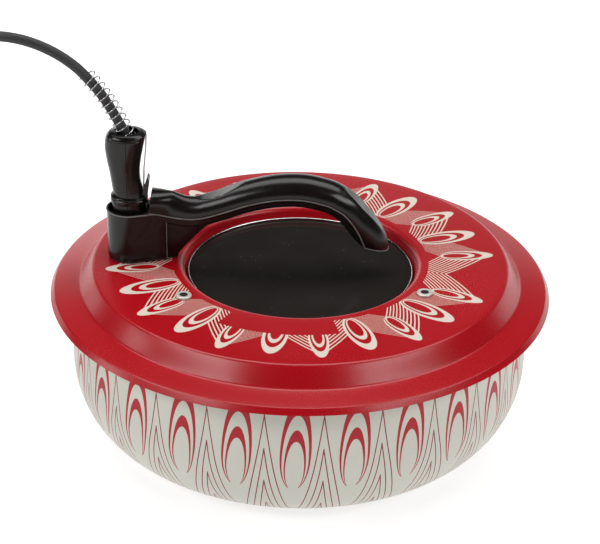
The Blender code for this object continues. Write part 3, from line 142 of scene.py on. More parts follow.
# Node trees
class Number:
    """A number in a node tree; an expression on it adds the Math nodes that work it out."""

    def __init__(self, socket):
        self.socket = socket

    def math(self, operation, *others, first=None):
        tree = self.socket.id_data
        node = tree.nodes.new("ShaderNodeMath")
        node.operation = operation
        values = (self, *others) if first is None else (first, self)
        for slot, value in zip(node.inputs, values):
            if isinstance(value, Number):
                tree.links.new(value.socket, slot)
            else:
                slot.default_value = value
        return Number(node.outputs["Value"])

    __add__ = partialmethod(math, "ADD")
    __sub__ = partialmethod(math, "SUBTRACT")
    __mul__ = partialmethod(math, "MULTIPLY")
    __truediv__ = partialmethod(math, "DIVIDE")
    __abs__ = partialmethod(math, "ABSOLUTE")
    __lt__ = partialmethod(math, "LESS_THAN")
    __gt__ = partialmethod(math, "GREATER_THAN")
    __and__ = partialmethod(math, "MULTIPLY")
    __or__ = partialmethod(math, "MAXIMUM")
    __invert__ = partialmethod(math, "SUBTRACT", first=1.0)

    def __rsub__(self, other):
        return self.math("SUBTRACT", first=other)

    def differs(self, other):
        """Of two masks, where one alone is set."""
        return abs(self - other)

    def squared(self):
        return self.math("MULTIPLY", self)

    def wrapped(self, low, high):
        return self.math("WRAP", high, low)

    def share_of(self, pitch):
        """How far into its pitch a number lies, from 0 to 1."""
        return (self / pitch).math("FRACT")


class Nodes:
    """A node tree in the making."""

    def __init__(self, tree):
        self.tree = tree

    def feed(self, socket, value):
        if isinstance(value, Number):
            value = value.socket
        if isinstance(value, bpy.types.NodeSocket):
            self.tree.links.new(value, socket)
        else:
            socket.default_value = value

    def node(self, kind, chosen=None, **sockets):
        """Adds a node: first what is chosen on it, then its sockets, named with underscores for spaces."""
        node = self.tree.nodes.new(kind)
        for name, value in (chosen or {}).items():
            setattr(node, name, value)
        for name, value in sockets.items():
            self.feed(node.inputs[name.replace("_", " ")], value)
        return node

    def made(self, kind, output, **sockets):
        """One output of a new node."""
        return self.node(kind, **sockets).outputs[output]

    def separate(self, vector):
        node = self.node("ShaderNodeSeparateXYZ", Vector=vector)
        return [Number(node.outputs[axis]) for axis in "XYZ"]

    def combine(self, x, y, z):
        return self.made("ShaderNodeCombineXYZ", "Vector", X=x, Y=y, Z=z)


# Sockets of the Mix node that take and give colours
MIX_COLOURS = (6, 7)
MIX_RESULT = 2


class Finish(Nodes):
    """A material in the making: a Principled shader with constants, and the nodes that vary it."""

    def __init__(self, name, **constants):
        self.material = bpy.data.materials.new(name)
        self.material.use_nodes = True
        super().__init__(self.material.node_tree)
        self.shader = self.tree.nodes["Principled BSDF"]
        for title, value in constants.items():
            self.shader.inputs[title.replace("_", " ").title().replace("Ior", "IOR")].default_value = value

    def vary(self, socket, value):
        self.feed(self.shader.inputs[socket], value)

    def place(self):
        """Object coordinates, in metres."""
        return self.made("ShaderNodeTexCoord", "Object")

    def attribute(self, name):
        node = self.node("ShaderNodeAttribute", {"attribute_type": "GEOMETRY", "attribute_name": name})
        return Number(node.outputs["Fac"])

    def noise(self, scale, detail=3.0, roughness=0.5, vector=None):
        sockets = {"Scale": scale, "Detail": detail, "Roughness": roughness}
        return Number(self.made("ShaderNodeTexNoise", "Fac", Vector=vector or self.place(), **sockets))

    def stretched(self, x, y, z):
        """Object coordinates, scaled along each axis."""
        return self.made("ShaderNodeMapping", "Vector", Vector=self.place(), Scale=(x, y, z))

    def specks(self, scale, size_share):
        """A mask of small round specks; the size is a share of their spacing."""
        distance = self.made("ShaderNodeTexVoronoi", "Distance", Vector=self.place(), Scale=scale)
        return Number(distance) < size_share

    def mix(self, factor, *colours):
        """Two colours blended, each given as a socket or as red, green and blue."""
        node = self.node("ShaderNodeMix", {"data_type": "RGBA"}, Factor=factor)
        for number, colour in zip(MIX_COLOURS, colours):
            if not isinstance(colour, bpy.types.NodeSocket):
                colour = (*colour, 1.0)
            self.feed(node.inputs[number], colour)
        return node.outputs[MIX_RESULT]

    def tinted(self, factor, colour, dark, pale):
        """A colour blended from a darker to a paler share of itself."""
        return self.mix(factor, shade(colour, dark), shade(colour, pale))

    def bump(self, height, strength, distance):
        relief = self.made("ShaderNodeBump", "Normal", Height=height, Strength=strength, Distance=distance)
        self.vary("Normal", relief)

    def coat(self, colour, roughness):
        """The finished material, with its colour and roughness."""
        self.vary("Base Color", colour)
        self.vary("Roughness", roughness)
        return self.material


def shade(colour, share):
    """A colour made darker or lighter by a share."""
    return tuple(min(1.0, channel * share) for channel in colour)


# Printed patterns
def egg(across, along, top, middle, bottom, half_width):
    """A mask inside an egg: elliptical above its middle and below it."""
    above = (middle - along) / (middle - top)
    below = (along - middle) / (bottom - middle)
    return ((across / half_width).squared() + (above | below).squared()) < 1.0


def banded(across, along, edges):
    """Masks of a shape with an outer and an inner band: the whole of it, and the two bands."""
    outer, outer_hole, inner, inner_hole = (egg(across, along, *edge) for edge in edges)
    return outer, (outer & ~outer_hole) | (inner & ~inner_hole)


# Loops: top, middle and bottom of each edge, down the wall from the rim's level, and half its width
WALL_LOOPS = (
    (-0.0015, 0.0360, 0.0640, 0.0096),
    (0.0089, 0.0400, 0.0636, 0.0082),
    (0.0192, 0.0450, 0.0640, 0.0067),
    (0.0274, 0.0470, 0.0644, 0.00575),
)
WALL_LOOP_END = 0.0622
WALL_LOOP_LEAN = 0.048
WALL_LOOP_SHIFT = 0.0028
WALL_LOOP_ANGLE = math.radians(270.45)
WALL_ARCH_TOP = 0.0095
WALL_ARCH_PITCH = 0.0237
WALL_ARCHES = 5
WALL_ARCH_SPREAD = 0.13
WALL_ARCH_FLARE = 0.65
WALL_RADIUS = 0.1515
WALL_PRINT_DROP = 0.0075
WALL_PRINT_TILT = 0.0018


def outside_of_pan(radius, level):
    """A mask of the outer face of the pan's wall and bend."""
    below = (PAN_BEND_HEIGHT - level).math("MAXIMUM", 0.0) / PAN_BEND_HEIGHT
    above = (level - PAN_BEND_HEIGHT).math("MAXIMUM", 0.0)
    bend = (1.0 - below.squared()).math("SQRT") * (WALL_RADIUS - PAN_BASE_RADIUS) + PAN_BASE_RADIUS
    lean = (WALL_RADIUS - PAN_NECK_RADIUS) / (PAN_RIM_TOP - PAN_BEND_HEIGHT)
    return radius > bend - above * lean - PAN_SHEET / 2


def pan_print(finish):
    """Masks of the loops and the arches on the pan's wall; the print lies lower away from the front."""
    options = settings("cake_pan")
    x, y, level = finish.separate(finish.place())
    outside = outside_of_pan((x.squared() + y.squared()).math("SQRT"), level)
    drop = (y / WALL_RADIUS + 1.0) * WALL_PRINT_DROP - x / WALL_RADIUS * WALL_PRINT_TILT
    depth = finish.attribute("depth") - drop
    pitch = FULL_TURN / options.motifs
    turn = (y.math("ARCTAN2", x) - WALL_LOOP_ANGLE).wrapped(-pitch / 2, pitch / 2)
    across = turn * WALL_RADIUS
    from_loop = across + depth * WALL_LOOP_LEAN - WALL_LOOP_SHIFT
    loops = banded(from_loop, depth, WALL_LOOPS)[1] & (depth < WALL_LOOP_END) & outside
    from_arch = pitch / 2 * WALL_RADIUS - abs(across)
    arches = None
    for number in range(WALL_ARCHES):
        below = depth - (WALL_ARCH_TOP + WALL_ARCH_PITCH * number)
        half_width = below * WALL_ARCH_SPREAD + below.squared() * WALL_ARCH_FLARE
        line = (abs(from_arch - half_width) < options.line / 2) & (below > -options.line)
        arches = line if arches is None else arches | line
    return loops, arches & outside


# Petals: tip, middle and root radius of each edge, and half its width; stripes: their count and share
NARROW_PETAL = (
    (0.1286, 0.1070, 0.0933, 0.00645),
    (0.1213, 0.1060, 0.0933, 0.00510),
    (0.1163, 0.1045, 0.0933, 0.00400),
    (0.1122, 0.1030, 0.0950, 0.00290),
)
WIDE_PETAL = (
    (0.1253, 0.1040, 0.0840, 0.00820),
    (0.1177, 0.1030, 0.0850, 0.00625),
    (0.1123, 0.1010, 0.0855, 0.00490),
    (0.1078, 0.0990, 0.0865, 0.00360),
)
PETAL_ANGLE = math.radians(7.8)
PETAL_SKEW = math.radians(1.8)
STRIPE_ROOT_RADIUS = 0.0847
STRIPE_RANGE = (0.092, 0.396)
BOLD_STRIPES = (9, 0.36)
FINE_STRIPES = (18, 0.25)
MIRRORED_FROM = math.radians(277.8)
MIRRORED_SWEEP = math.radians(90.0)
MISSING_FROM = math.radians(337.8)
BARE_PLACE = (math.radians(241.0), math.radians(285.6))
BARE_PLACE_RADIUS = 0.1012


def lid_print(finish):
    """A mask of the ring of petals and slanted stripes on the lid's upper face."""
    options = settings("cake_lid")
    pitch = FULL_TURN / options.petal_pairs
    x, y, level = finish.separate(finish.place())
    radius = (x.squared() + y.squared()).math("SQRT")
    angle = y.math("ARCTAN2", x)
    turn = angle + angle.math("COSINE") * PETAL_SKEW
    from_narrow = (turn - PETAL_ANGLE).wrapped(-pitch / 2, pitch / 2)
    from_wide = (turn - PETAL_ANGLE).wrapped(0.0, pitch) - pitch / 2
    narrow, narrow_bands = banded(from_narrow * radius, radius, NARROW_PETAL)
    wide, wide_bands = banded(from_wide * radius, radius, WIDE_PETAL)
    missing = (turn - MISSING_FROM).wrapped(0.0, FULL_TURN) < pitch
    wide = wide & ~missing
    wide_bands = wide_bands & ~missing
    slant = (radius / STRIPE_ROOT_RADIUS).math("LOGARITHM", math.e) + abs(from_narrow)
    low, high = STRIPE_RANGE
    in_range = (slant > low) & (slant < high)
    bold, fine = (
        (slant - low).share_of((high - low) / (count + share)) < share
        for count, share in (BOLD_STRIPES, FINE_STRIPES)
    )
    mirrored = (turn - MIRRORED_FROM).wrapped(0.0, FULL_TURN) < MIRRORED_SWEEP
    is_bold = mirrored.differs(from_narrow < 0.0) | missing
    stripes = ((bold & is_bold) | (fine & ~is_bold)) & in_range & ~narrow & ~wide
    around = angle.wrapped(0.0, FULL_TURN)
    bare = (around > BARE_PLACE[0]) & (around < BARE_PLACE[1]) & (radius < BARE_PLACE_RADIUS)
    ring = (radius > STRIPE_ROOT_RADIUS) & (level > PLATEAU - options.sheet / 2)
    return (stripes | narrow_bands | wide_bands) & ring & ~bare


# Finishes
def pan_lacquer():
    options = settings("cake_pan")
    finish = Finish("pan lacquer", specular_ior_level=0.3)
    loops, arches = pan_print(finish)
    cloud = finish.noise(9.0, detail=2.0)
    grain = finish.noise(1400.0, detail=2.0)
    ground = finish.tinted(cloud, options.ground, 0.93, 1.05)
    ground = finish.mix(finish.specks(420.0, 0.10), ground, shade(options.ground, 0.72))
    red = finish.tinted(cloud, options.print_red, 0.85, 1.1)
    colour = finish.mix(arches, finish.mix(loops, ground, red), shade(options.print_red, 0.55))
    finish.bump(grain + (loops | arches) * 1.5, strength=0.25, distance=0.00002)
    return finish.coat(colour, cloud * 0.06 + grain * 0.05 + 0.30)


def lid_enamel():
    options = settings("cake_lid")
    finish = Finish("lid enamel", specular_ior_level=0.45)
    printed = lid_print(finish)
    cloud = finish.noise(8.0, detail=2.0)
    grain = finish.noise(1100.0, detail=2.0)
    red = finish.tinted(cloud, options.enamel, 0.90, 1.08)
    cream = finish.tinted(grain, options.print_cream, 0.93, 1.0)
    finish.bump(grain + printed * 1.5, strength=0.2, distance=0.00002)
    return finish.coat(finish.mix(printed, red, cream), cloud * 0.05 + grain * 0.04 + 0.22)


def smoked_glass():
    finish = Finish("smoked glass", specular_ior_level=0.08)
    dust = finish.noise(30.0, detail=4.0)
    specks = finish.specks(260.0, 0.07) & (finish.noise(60.0) > 0.55)
    base = finish.mix(dust, (0.012, 0.010, 0.009), (0.020, 0.018, 0.016))
    return finish.coat(finish.mix(specks, base, (0.16, 0.16, 0.15)), dust * 0.10 + specks * 0.4 + 0.10)


def bakelite():
    finish = Finish("bakelite", specular_ior_level=0.34)
    flow = finish.noise(45.0, detail=5.0, roughness=0.6)
    grain = finish.noise(1800.0, detail=2.0)
    finish.bump(flow * 0.6 + grain * 0.4, strength=0.25, distance=0.00006)
    colour = finish.tinted(flow, settings("cake_handle").bakelite, 0.8, 1.4)
    return finish.coat(colour, flow * 0.12 + grain * 0.06 + 0.13)


def mottled(name, scale, colours, spread, roughness, detail=3.0, **constants):
    """Two colours in patches, with the paler ones rougher: scraped flash made paler as a painted highlight,
    worn nickel, and the painted shade in a screw's recess.
    """
    finish = Finish(name, **constants)
    patch = finish.noise(scale, detail=detail)
    return finish.coat(finish.mix(patch, *colours), patch * spread + roughness)


def rubber(name, colour):
    """Matt sheath of a lead, or a moulded soft piece."""
    finish = Finish(name, specular_ior_level=0.45)
    grain = finish.noise(900.0, detail=3.0)
    dust = finish.noise(25.0, detail=4.0)
    finish.bump(grain, strength=0.3, distance=0.00008)
    return finish.coat(finish.tinted(dust, colour, 0.75, 1.5), dust * 0.12 + grain * 0.10 + 0.42)


def metal(name, colour, roughness, scale=(1.0, 1.0, 60.0), tint=None):
    """Metal with a fine grain along one axis and, where it has been hot, a tint in patches."""
    finish = Finish(name, metallic=1.0)
    grain = finish.noise(70.0, detail=4.0, roughness=0.7, vector=finish.stretched(*scale))
    patch = finish.noise(22.0, detail=4.0)
    base = finish.tinted(grain, colour, 0.88, 1.08)
    if tint:
        base = finish.mix(patch, base, tint)
    finish.bump(grain, strength=0.2, distance=0.00003)
    return finish.coat(base, grain * 0.12 + patch * 0.08 + (roughness - 0.1))


def ceramic():
    finish = Finish("bead ceramic")
    grain = finish.noise(1500.0, detail=3.0)
    stain = finish.noise(260.0, detail=3.0)
    finish.bump(grain, strength=0.3, distance=0.00005)
    return finish.coat(finish.mix(stain, (0.62, 0.58, 0.50), (0.78, 0.75, 0.68)), grain * 0.2 + 0.45)


def wire_sleeve():
    """Woven glass sleeve over the inner wires: fine ribs that cross."""
    finish = Finish("glass fibre sleeve")
    x, y, z = finish.separate(finish.place())
    weave = ((x + z) * 6000.0).math("SINE") * ((y - z) * 6000.0).math("SINE")
    finish.bump(weave, strength=0.5, distance=0.0001)
    colour = finish.mix(weave * 0.5 + 0.5, (0.22, 0.20, 0.16), (0.42, 0.38, 0.30))
    return finish.coat(colour, weave * 0.1 + 0.7)


FLOOR_GLOW = (0.75, 0.75, 0.75)
FLOOR_GLOW_REACH = 0.8


def pale_floor():
    """A floor that glows a little more away from the object."""
    finish = Finish("pale floor", specular_ior_level=0.1, emission_strength=1.0)
    grain = finish.noise(3.0, detail=4.0)
    x, y, _ = finish.separate(finish.place())
    away = ((x.squared() + y.squared()) / FLOOR_GLOW_REACH ** 2).math("MINIMUM", 1.0)
    finish.vary("Emission Color", finish.tinted(away, FLOOR_GLOW, 0.85, 1.0))
    return finish.coat(finish.tinted(grain, settings("cake_stage").floor, 0.99, 1.01), grain * 0.1 + 0.75)


# Mottled finishes: scale, two colours, spread of the roughness, and its least
# Seam beads: scraped flash, painted paler still so that the pale grey also stands for the highlight along
# the parting lines
SCRAPED_AND_HIGHLIT = (160.0, ((0.060, 0.056, 0.052), (0.21, 0.20, 0.19)), 0.2, 0.45)
NICKEL = (900.0, ((0.62, 0.59, 0.54), (0.80, 0.77, 0.72)), 0.15, 0.40)
# Painted shade: near black for the screws' recesses, standing in for the shade that falls in the hollow
PAINTED_RECESS_SHADE = (1200.0, ((0.008, 0.008, 0.006), (0.050, 0.048, 0.040)), 0.2, 0.5)
# Metals: colour and roughness
BRIGHT_STEEL = ((0.72, 0.72, 0.73), 0.20)
SPRING_STEEL = ((0.44, 0.44, 0.44), 0.26)
STRIP_STEEL = ((0.20, 0.19, 0.18), 0.42)
ALUMINIUM = ((0.66, 0.67, 0.68), 0.40)
ELEMENT_STEEL = ((0.26, 0.25, 0.25), 0.48)
BRASS = ((0.70, 0.50, 0.20), 0.28)
ALUMINIUM_TINT = (0.55, 0.52, 0.46)
ELEMENT_TINT = (0.16, 0.12, 0.11)
EVEN_GRAIN = (1.0, 1.0, 1.0)
UPRIGHT_GRAIN = (60.0, 60.0, 1.0)
BLACK_SILICONE = (0.030, 0.028, 0.026)

MATERIALS = {
    "pan": pan_lacquer,
    "lid": lid_enamel,
    "glass": smoked_glass,
    "bakelite": bakelite,
    "scraped bakelite": lambda: mottled("scraped bakelite", *SCRAPED_AND_HIGHLIT, detail=4.0, specular_ior_level=0.3),
    "sheath": lambda: rubber("lead sheath", settings("cake_lead").sheath),
    "silicone": lambda: rubber("black silicone", BLACK_SILICONE),
    "bright": lambda: metal("bright plated steel", *BRIGHT_STEEL),
    "nickel": lambda: mottled("screw nickel", *NICKEL, metallic=0.75),
    "recess": lambda: mottled("screw recess", *PAINTED_RECESS_SHADE, specular_ior_level=0.2),
    "spring": lambda: metal("spring steel", *SPRING_STEEL, scale=EVEN_GRAIN),
    "strip": lambda: metal("dull strip steel", *STRIP_STEEL, scale=UPRIGHT_GRAIN),
    "aluminium": lambda: metal("pressed aluminium", *ALUMINIUM, tint=ALUMINIUM_TINT),
    "element": lambda: metal("element steel", *ELEMENT_STEEL, scale=EVEN_GRAIN, tint=ELEMENT_TINT),
    "brass": lambda: metal("brass", *BRASS),
    "ceramic": ceramic,
    "sleeve": wire_sleeve,
    "floor": pale_floor,
}


@cache
def material(name):
    return MATERIALS[name]()


# Objects
def add_object(name, data):
    obj = bpy.data.objects.new(name, data)
    bpy.context.scene.collection.objects.link(obj)
    return obj


def outline_mesh(name, points, closed=False, attribute=None):
    """A mesh of edges through points, with a number at each point where one is asked for."""
    mesh = bpy.data.meshes.new(name)
    edges = [(index, index + 1) for index in range(len(points) - 1)]
    if closed:
        edges.append((len(points) - 1, 0))
    mesh.from_pydata(points, edges, [])
    if attribute:
        title, numbers = attribute
        values = mesh.attributes.new(title, "FLOAT", "POINT")
        values.data.foreach_set("value", numbers)
    return mesh


def combine(obj, operation, *others):
    """Joins other shapes to an object or cuts them out of it, once it is finished."""
    for other in others:
        modifier = obj.modifiers.new(other.name, "BOOLEAN")
        modifier.operation = operation
        modifier.solver = "EXACT"
        modifier.object = other
    return obj


def finished(obj, sharp_angle=SHARP_ANGLE):
    """The object with its modifiers applied, its doubles merged and its faces pointing outwards."""
    operands = [modifier.object for modifier in obj.modifiers if modifier.type == "BOOLEAN"]
    bpy.context.view_layer.update()
    evaluated = obj.evaluated_get(bpy.context.evaluated_depsgraph_get())
    mesh = bpy.data.meshes.new_from_object(evaluated)
    mesh.transform(obj.matrix_world)
    bm = bmesh.new()
    bm.from_mesh(mesh)
    bmesh.ops.remove_doubles(bm, verts=bm.verts, dist=WELD)
    bmesh.ops.dissolve_degenerate(bm, edges=bm.edges, dist=WELD)
    bmesh.ops.recalc_face_normals(bm, faces=bm.faces)
    bm.to_mesh(mesh)
    bm.free()
    mesh.shade_smooth()
    mesh.set_sharp_from_angle(angle=sharp_angle)
    name = obj.name
    for used in (obj, *operands):
        bpy.data.objects.remove(used, do_unlink=True)
    return add_object(name, mesh)


def joined(piece, *others):
    """One piece of several, with the finish of the others in a second slot."""
    bm = bmesh.new()
    bm.from_mesh(piece.data)
    own = len(bm.faces)
    for other in others:
        bm.from_mesh(other.data)
    bm.faces.ensure_lookup_table()
    for face in bm.faces[own:]:
        face.material_index = len(piece.data.materials)
    bm.to_mesh(piece.data)
    bm.free()
    piece.data.materials.append(others[0].data.materials[0])
    for other in others:
        bpy.data.objects.remove(other, do_unlink=True)
    return piece


def paint(piece, name):
    piece.data.materials.clear()
    piece.data.materials.append(material(name))
    return piece


def dress(name, starts):
    """Gives a finish to the CAD nodes whose names start in one of these ways."""
    for node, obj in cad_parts.items():
        if node.startswith(starts):
            for slot in obj.material_slots:
                slot.material = material(name)


def seat(piece, body, *nodes):
    """Lets a piece ride on a body in the place of CAD nodes, which are hidden."""
    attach(piece, body)
    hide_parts(*nodes)
    return piece


# Geometry Nodes
class Recipe(Nodes):
    """A geometry tree in the making: a geometry goes in and comes out, and its sizes have names."""

    def __init__(self, name, inputs):
        super().__init__(bpy.data.node_groups.new(name, "GeometryNodeTree"))
        inputs = {"Geometry": "NodeSocketGeometry", **inputs, "Material": "NodeSocketMaterial"}
        for title, kind in inputs.items():
            self.tree.interface.new_socket(title, in_out="INPUT", socket_type=kind)
        self.tree.interface.new_socket("Geometry", in_out="OUTPUT", socket_type="NodeSocketGeometry")
        self.given = self.node("NodeGroupInput").outputs

    def capture(self, geometry, kind, title, value):
        """A geometry that keeps a value at its points, and the value that it keeps."""
        node = self.node("GeometryNodeCaptureAttribute", Geometry=geometry)
        node.capture_items.new(kind, title)
        self.feed(node.inputs[title], value)
        return node.outputs["Geometry"], node.outputs[title]

    def close(self, geometry):
        realized = self.made("GeometryNodeRealizeInstances", "Geometry", Geometry=geometry)
        sockets = {"Geometry": realized, "Material": self.given["Material"]}
        self.node("NodeGroupOutput", Geometry=self.made("GeometryNodeSetMaterial", "Geometry", **sockets))
        return self.tree


def cooked(obj, tree, material_name, **values):
    """Hangs a recipe on an object and sets its inputs by their identifiers."""
    modifier = obj.modifiers.new(tree.name, "NODES")
    modifier.node_group = tree
    values["Material"] = material(material_name)
    for item in tree.interface.items_tree:
        if item.in_out == "INPUT" and item.name in values:
            modifier[item.identifier] = values[item.name]


@cache
def turning_recipe():
    """Turns a profile, drawn with its radii along X and its levels along Z, about the Z axis."""
    recipe = Recipe("Turned piece", {"Steps": "NodeSocketInt"})
    place = recipe.made("GeometryNodeInputPosition", "Position")
    profile, corner = recipe.capture(recipe.given["Geometry"], "VECTOR", "Profile", place)
    outline = recipe.made("GeometryNodeMeshToCurve", "Curve", Mesh=profile)
    circle = recipe.made("GeometryNodeCurvePrimitiveCircle", "Curve", Resolution=recipe.given["Steps"])
    factor = recipe.made("GeometryNodeSplineParameter", "Factor")
    around, turn = recipe.capture(circle, "FLOAT", "Turn", factor)
    skin = recipe.made("GeometryNodeCurveToMesh", "Mesh", Curve=around, Profile_Curve=outline)
    angle = Number(turn) * FULL_TURN
    radius, _, level = recipe.separate(corner)
    position = recipe.combine(radius * angle.math("COSINE"), radius * angle.math("SINE"), level)
    placed = recipe.made("GeometryNodeSetPosition", "Geometry", Geometry=skin, Position=position)
    merged = recipe.made("GeometryNodeMergeByDistance", "Geometry", Geometry=placed, Distance=WELD)
    return recipe.close(merged)


@cache
def tube_recipe():
    """A round tube along a line of edges."""
    recipe = Recipe("Tube", {"Radius": "NodeSocketFloat", "Sides": "NodeSocketInt"})
    line = recipe.made("GeometryNodeMeshToCurve", "Curve", Mesh=recipe.given["Geometry"])
    sizes = {"Resolution": recipe.given["Sides"], "Radius": recipe.given["Radius"]}
    section = recipe.made("GeometryNodeCurvePrimitiveCircle", "Curve", **sizes)
    skin = recipe.made("GeometryNodeCurveToMesh", "Mesh", Curve=line, Profile_Curve=section, Fill_Caps=True)
    return recipe.close(skin)


def turned(name, outline, material_name, steps=160, wall=0.0, closed=False, depths=None, sharp=SHARP_ANGLE):
    """A turned piece; its outline runs down the outer side, and a wall lies behind an open one."""
    points = [(point[0], 0.0, point[1]) for point in outline]
    attribute = ("depth", depths) if depths else None
    obj = add_object(name, outline_mesh(name, points, closed, attribute))
    cooked(obj, turning_recipe(), material_name, Steps=steps)
    if wall:
        solidify = obj.modifiers.new("Wall", "SOLIDIFY")
        solidify.thickness = wall
        solidify.offset = -1.0
        solidify.use_even_offset = True
    return paint(finished(obj, sharp), material_name)


def lofted(name, sections):
    """A closed skin over sections that have as many points each."""
    bm = bmesh.new()
    loops = [[bm.verts.new(point) for point in section] for section in sections]
    count = len(sections[0])
    for first, second in zip(loops, loops[1:]):
        for index in range(count):
            following = (index + 1) % count
            bm.faces.new((first[index], first[following], second[following], second[index]))
    bm.faces.new(loops[0])
    bm.faces.new(loops[-1])
    bmesh.ops.recalc_face_normals(bm, faces=bm.faces)
    mesh = bpy.data.meshes.new(name)
    bm.to_mesh(mesh)
    bm.free()
    return add_object(name, mesh)


def prism(name, outline, width, edge=0.0):
    """A side view, drawn with X and Z, made as wide as asked about the middle plane."""
    sides = (-width / 2, width / 2)
    obj = lofted(name, [[(point[0], side, point[1]) for point in outline] for side in sides])
    if edge:
        bevel = obj.modifiers.new("Edge", "BEVEL")
        bevel.width = edge
        bevel.segments = 3
        bevel.limit_method = "ANGLE"
        bevel.angle_limit = math.radians(50.0)
    return obj


def raised(name, plans):
    """A closed form through plans, each given with its level."""
    return lofted(name, [[(x, y, level) for x, y in plan] for plan, level in plans])


def drum(name, radius, low, high, x=0.0, y=0.0, half_width=None, steps=64):
    """An upright cylinder, or an oval one where half its width along Y is given."""
    angles = [FULL_TURN * step / steps for step in range(steps)]
    half_width = half_width or radius
    plan = [(x + radius * math.cos(angle), y + half_width * math.sin(angle)) for angle in angles]
    return raised(name, ((plan, low), (plan, high)))


def block(name, low, high):
    """A box between two corners."""
    outline = [(low[0], low[2]), (high[0], low[2]), (high[0], high[2]), (low[0], high[2])]
    obj = prism(name, outline, high[1] - low[1])
    obj.location.y = (low[1] + high[1]) / 2
    return obj


def tube(name, points, radius, material_name, sides=16):
    obj = add_object(name, outline_mesh(name, [tuple(point) for point in points]))
    cooked(obj, tube_recipe(), material_name, Radius=radius, Sides=sides)
    return paint(finished(obj, TUBE_SHARP_ANGLE), material_name)


# The most of a side that one fillet may take up
FILLET_SHARE = 0.48


def rounded(corners, steps=6):
    """Outline through corners given as (radius, level, fillet), with each fillet kept within its sides."""
    points = []
    for index, (x, z, fillet) in enumerate(corners):
        corner = Vector((x, z))
        if fillet <= 0.0:
            points.append(corner)
            continue
        before = Vector(corners[index - 1][:2]) - corner
        after = Vector(corners[index + 1][:2]) - corner
        half = before.angle(after) / 2
        run = min(fillet / math.tan(half), min(before.length, after.length) * FILLET_SHARE)
        radius = run * math.tan(half)
        middle = (before.normalized() + after.normalized()).normalized()
        centre = corner + middle * (run / math.cos(half))
        start = corner + before.normalized() * run - centre
        end = corner + after.normalized() * run - centre
        for step in range(steps + 1):
            points.append(centre + start.lerp(end, step / steps).normalized() * radius)
    return points


def subdivided(points, longest):
    """The same outline with its long runs cut into shorter ones."""
    result = [points[0]]
    for first, second in zip(points, points[1:]):
        count = max(1, math.ceil((second - first).length / longest))
        result.extend(first.lerp(second, step / count) for step in range(1, count + 1))
    return result


def eased(rows, steps):
    """Rows of numbers with more of them put in between, on smooth curves through those given."""
    rows = [Vector(row) for row in rows]
    rows = [2 * rows[0] - rows[1], *rows, 2 * rows[-1] - rows[-2]]
    fine = []
    for a, b, c, d in zip(rows, rows[1:], rows[2:], rows[3:]):
        for number in range(steps):
            t = number / steps
            bend = (2 * a - 5 * b + 4 * c - d) * (t * t) + (3 * b - a - 3 * c + d) * (t * t * t)
            fine.append((2 * b + (c - a) * t + bend) / 2)
    fine.append(rows[-2])
    return fine


def lengths_down(points, level):
    """Length along an outline to each point, from where it last comes down through a level."""
    lengths = [0.0]
    start = 0.0
    for first, second in zip(points, points[1:]):
        run = (second - first).length
        if first.y > level >= second.y:
            start = lengths[-1] + run * (first.y - level) / (first.y - second.y)
        lengths.append(lengths[-1] + run)
    return [length - start for length in lengths]


# Pan: a deep-drawn sheet with a rolled rim
PAN_SHEET = 0.0015
PAN_RIM_TOP = 0.0996
PAN_NECK_RADIUS = 0.1500
PAN_BASE_RADIUS = 0.1100
PAN_BEND_HEIGHT = 0.0520
PAN_CURL = 0.0022
PAN_RIM_FILLET = 0.0010
PAN_BEND_STEPS = 24
PAN_BASE_STEP = 0.012
PROFILE_STEP = 0.006
FLANGE_FALL_SHARE = 0.1538
PRINT_LEVEL = 0.0970


def pan_outline():
    rim = PAN_HIGH.x
    under = PAN_RIM_TOP - PAN_SHEET
    outer = rim - PAN_SHEET
    neck_top = under + FLANGE_FALL_SHARE * (rim - PAN_NECK_RADIUS)
    corners = (
        (outer, under - PAN_CURL, 0.0),
        (outer, under, PAN_RIM_FILLET),
        (PAN_NECK_RADIUS, neck_top, PAN_RIM_FILLET),
        (WALL_RADIUS, PAN_BEND_HEIGHT, 0.0),
    )
    outline = subdivided(rounded(corners), PROFILE_STEP)
    for step in range(1, PAN_BEND_STEPS + 1):
        angle = QUARTER_TURN * step / PAN_BEND_STEPS
        radius = PAN_BASE_RADIUS + (WALL_RADIUS - PAN_BASE_RADIUS) * math.cos(angle)
        outline.append(Vector((radius, PAN_BEND_HEIGHT * (1 - math.sin(angle)))))
    outline.extend(subdivided([outline[-1], Vector((0.0, PAN_BOTTOM))], PAN_BASE_STEP)[1:])
    return outline


class CAKE_OT_pan(bpy.types.Operator):
    """Makes the deep-drawn pan with its printed wall"""

    bl_idname = "cake.pan"
    bl_label = "Pan"

    def execute(self, context):
        outline = pan_outline()
        depths = lengths_down(outline, PRINT_LEVEL)
        piece = turned("pan", outline, "pan", steps=208, wall=PAN_SHEET, depths=depths)
        seat(piece, "pan", "pan_body")
        return {"FINISHED"}


# Lid: one pressed sheet from the window ledge out to the lip
LIP_FLARE = 0.0025
LIP_FILLET = 0.0014
STEP_FOOT_RADIUS = 0.1456
STEP_RUN = 0.0087
SOFT_FILLET = 0.0030
WINDOW_RADIUS = 0.0778
WELL_RADIUS = 0.0752
WELL_DEPTH = 0.0128
WELL_TAPER_DEPTH = 0.0080
WELL_FILLET = 0.0020
WINDOW_FILLET = 0.0042
LEDGE_WIDTH = 0.0047
LEDGE_FILLET = 0.0004
STEP_HEIGHT = 0.0122
LIP_LEVEL = 0.1007
LIP_DROP = 0.0037


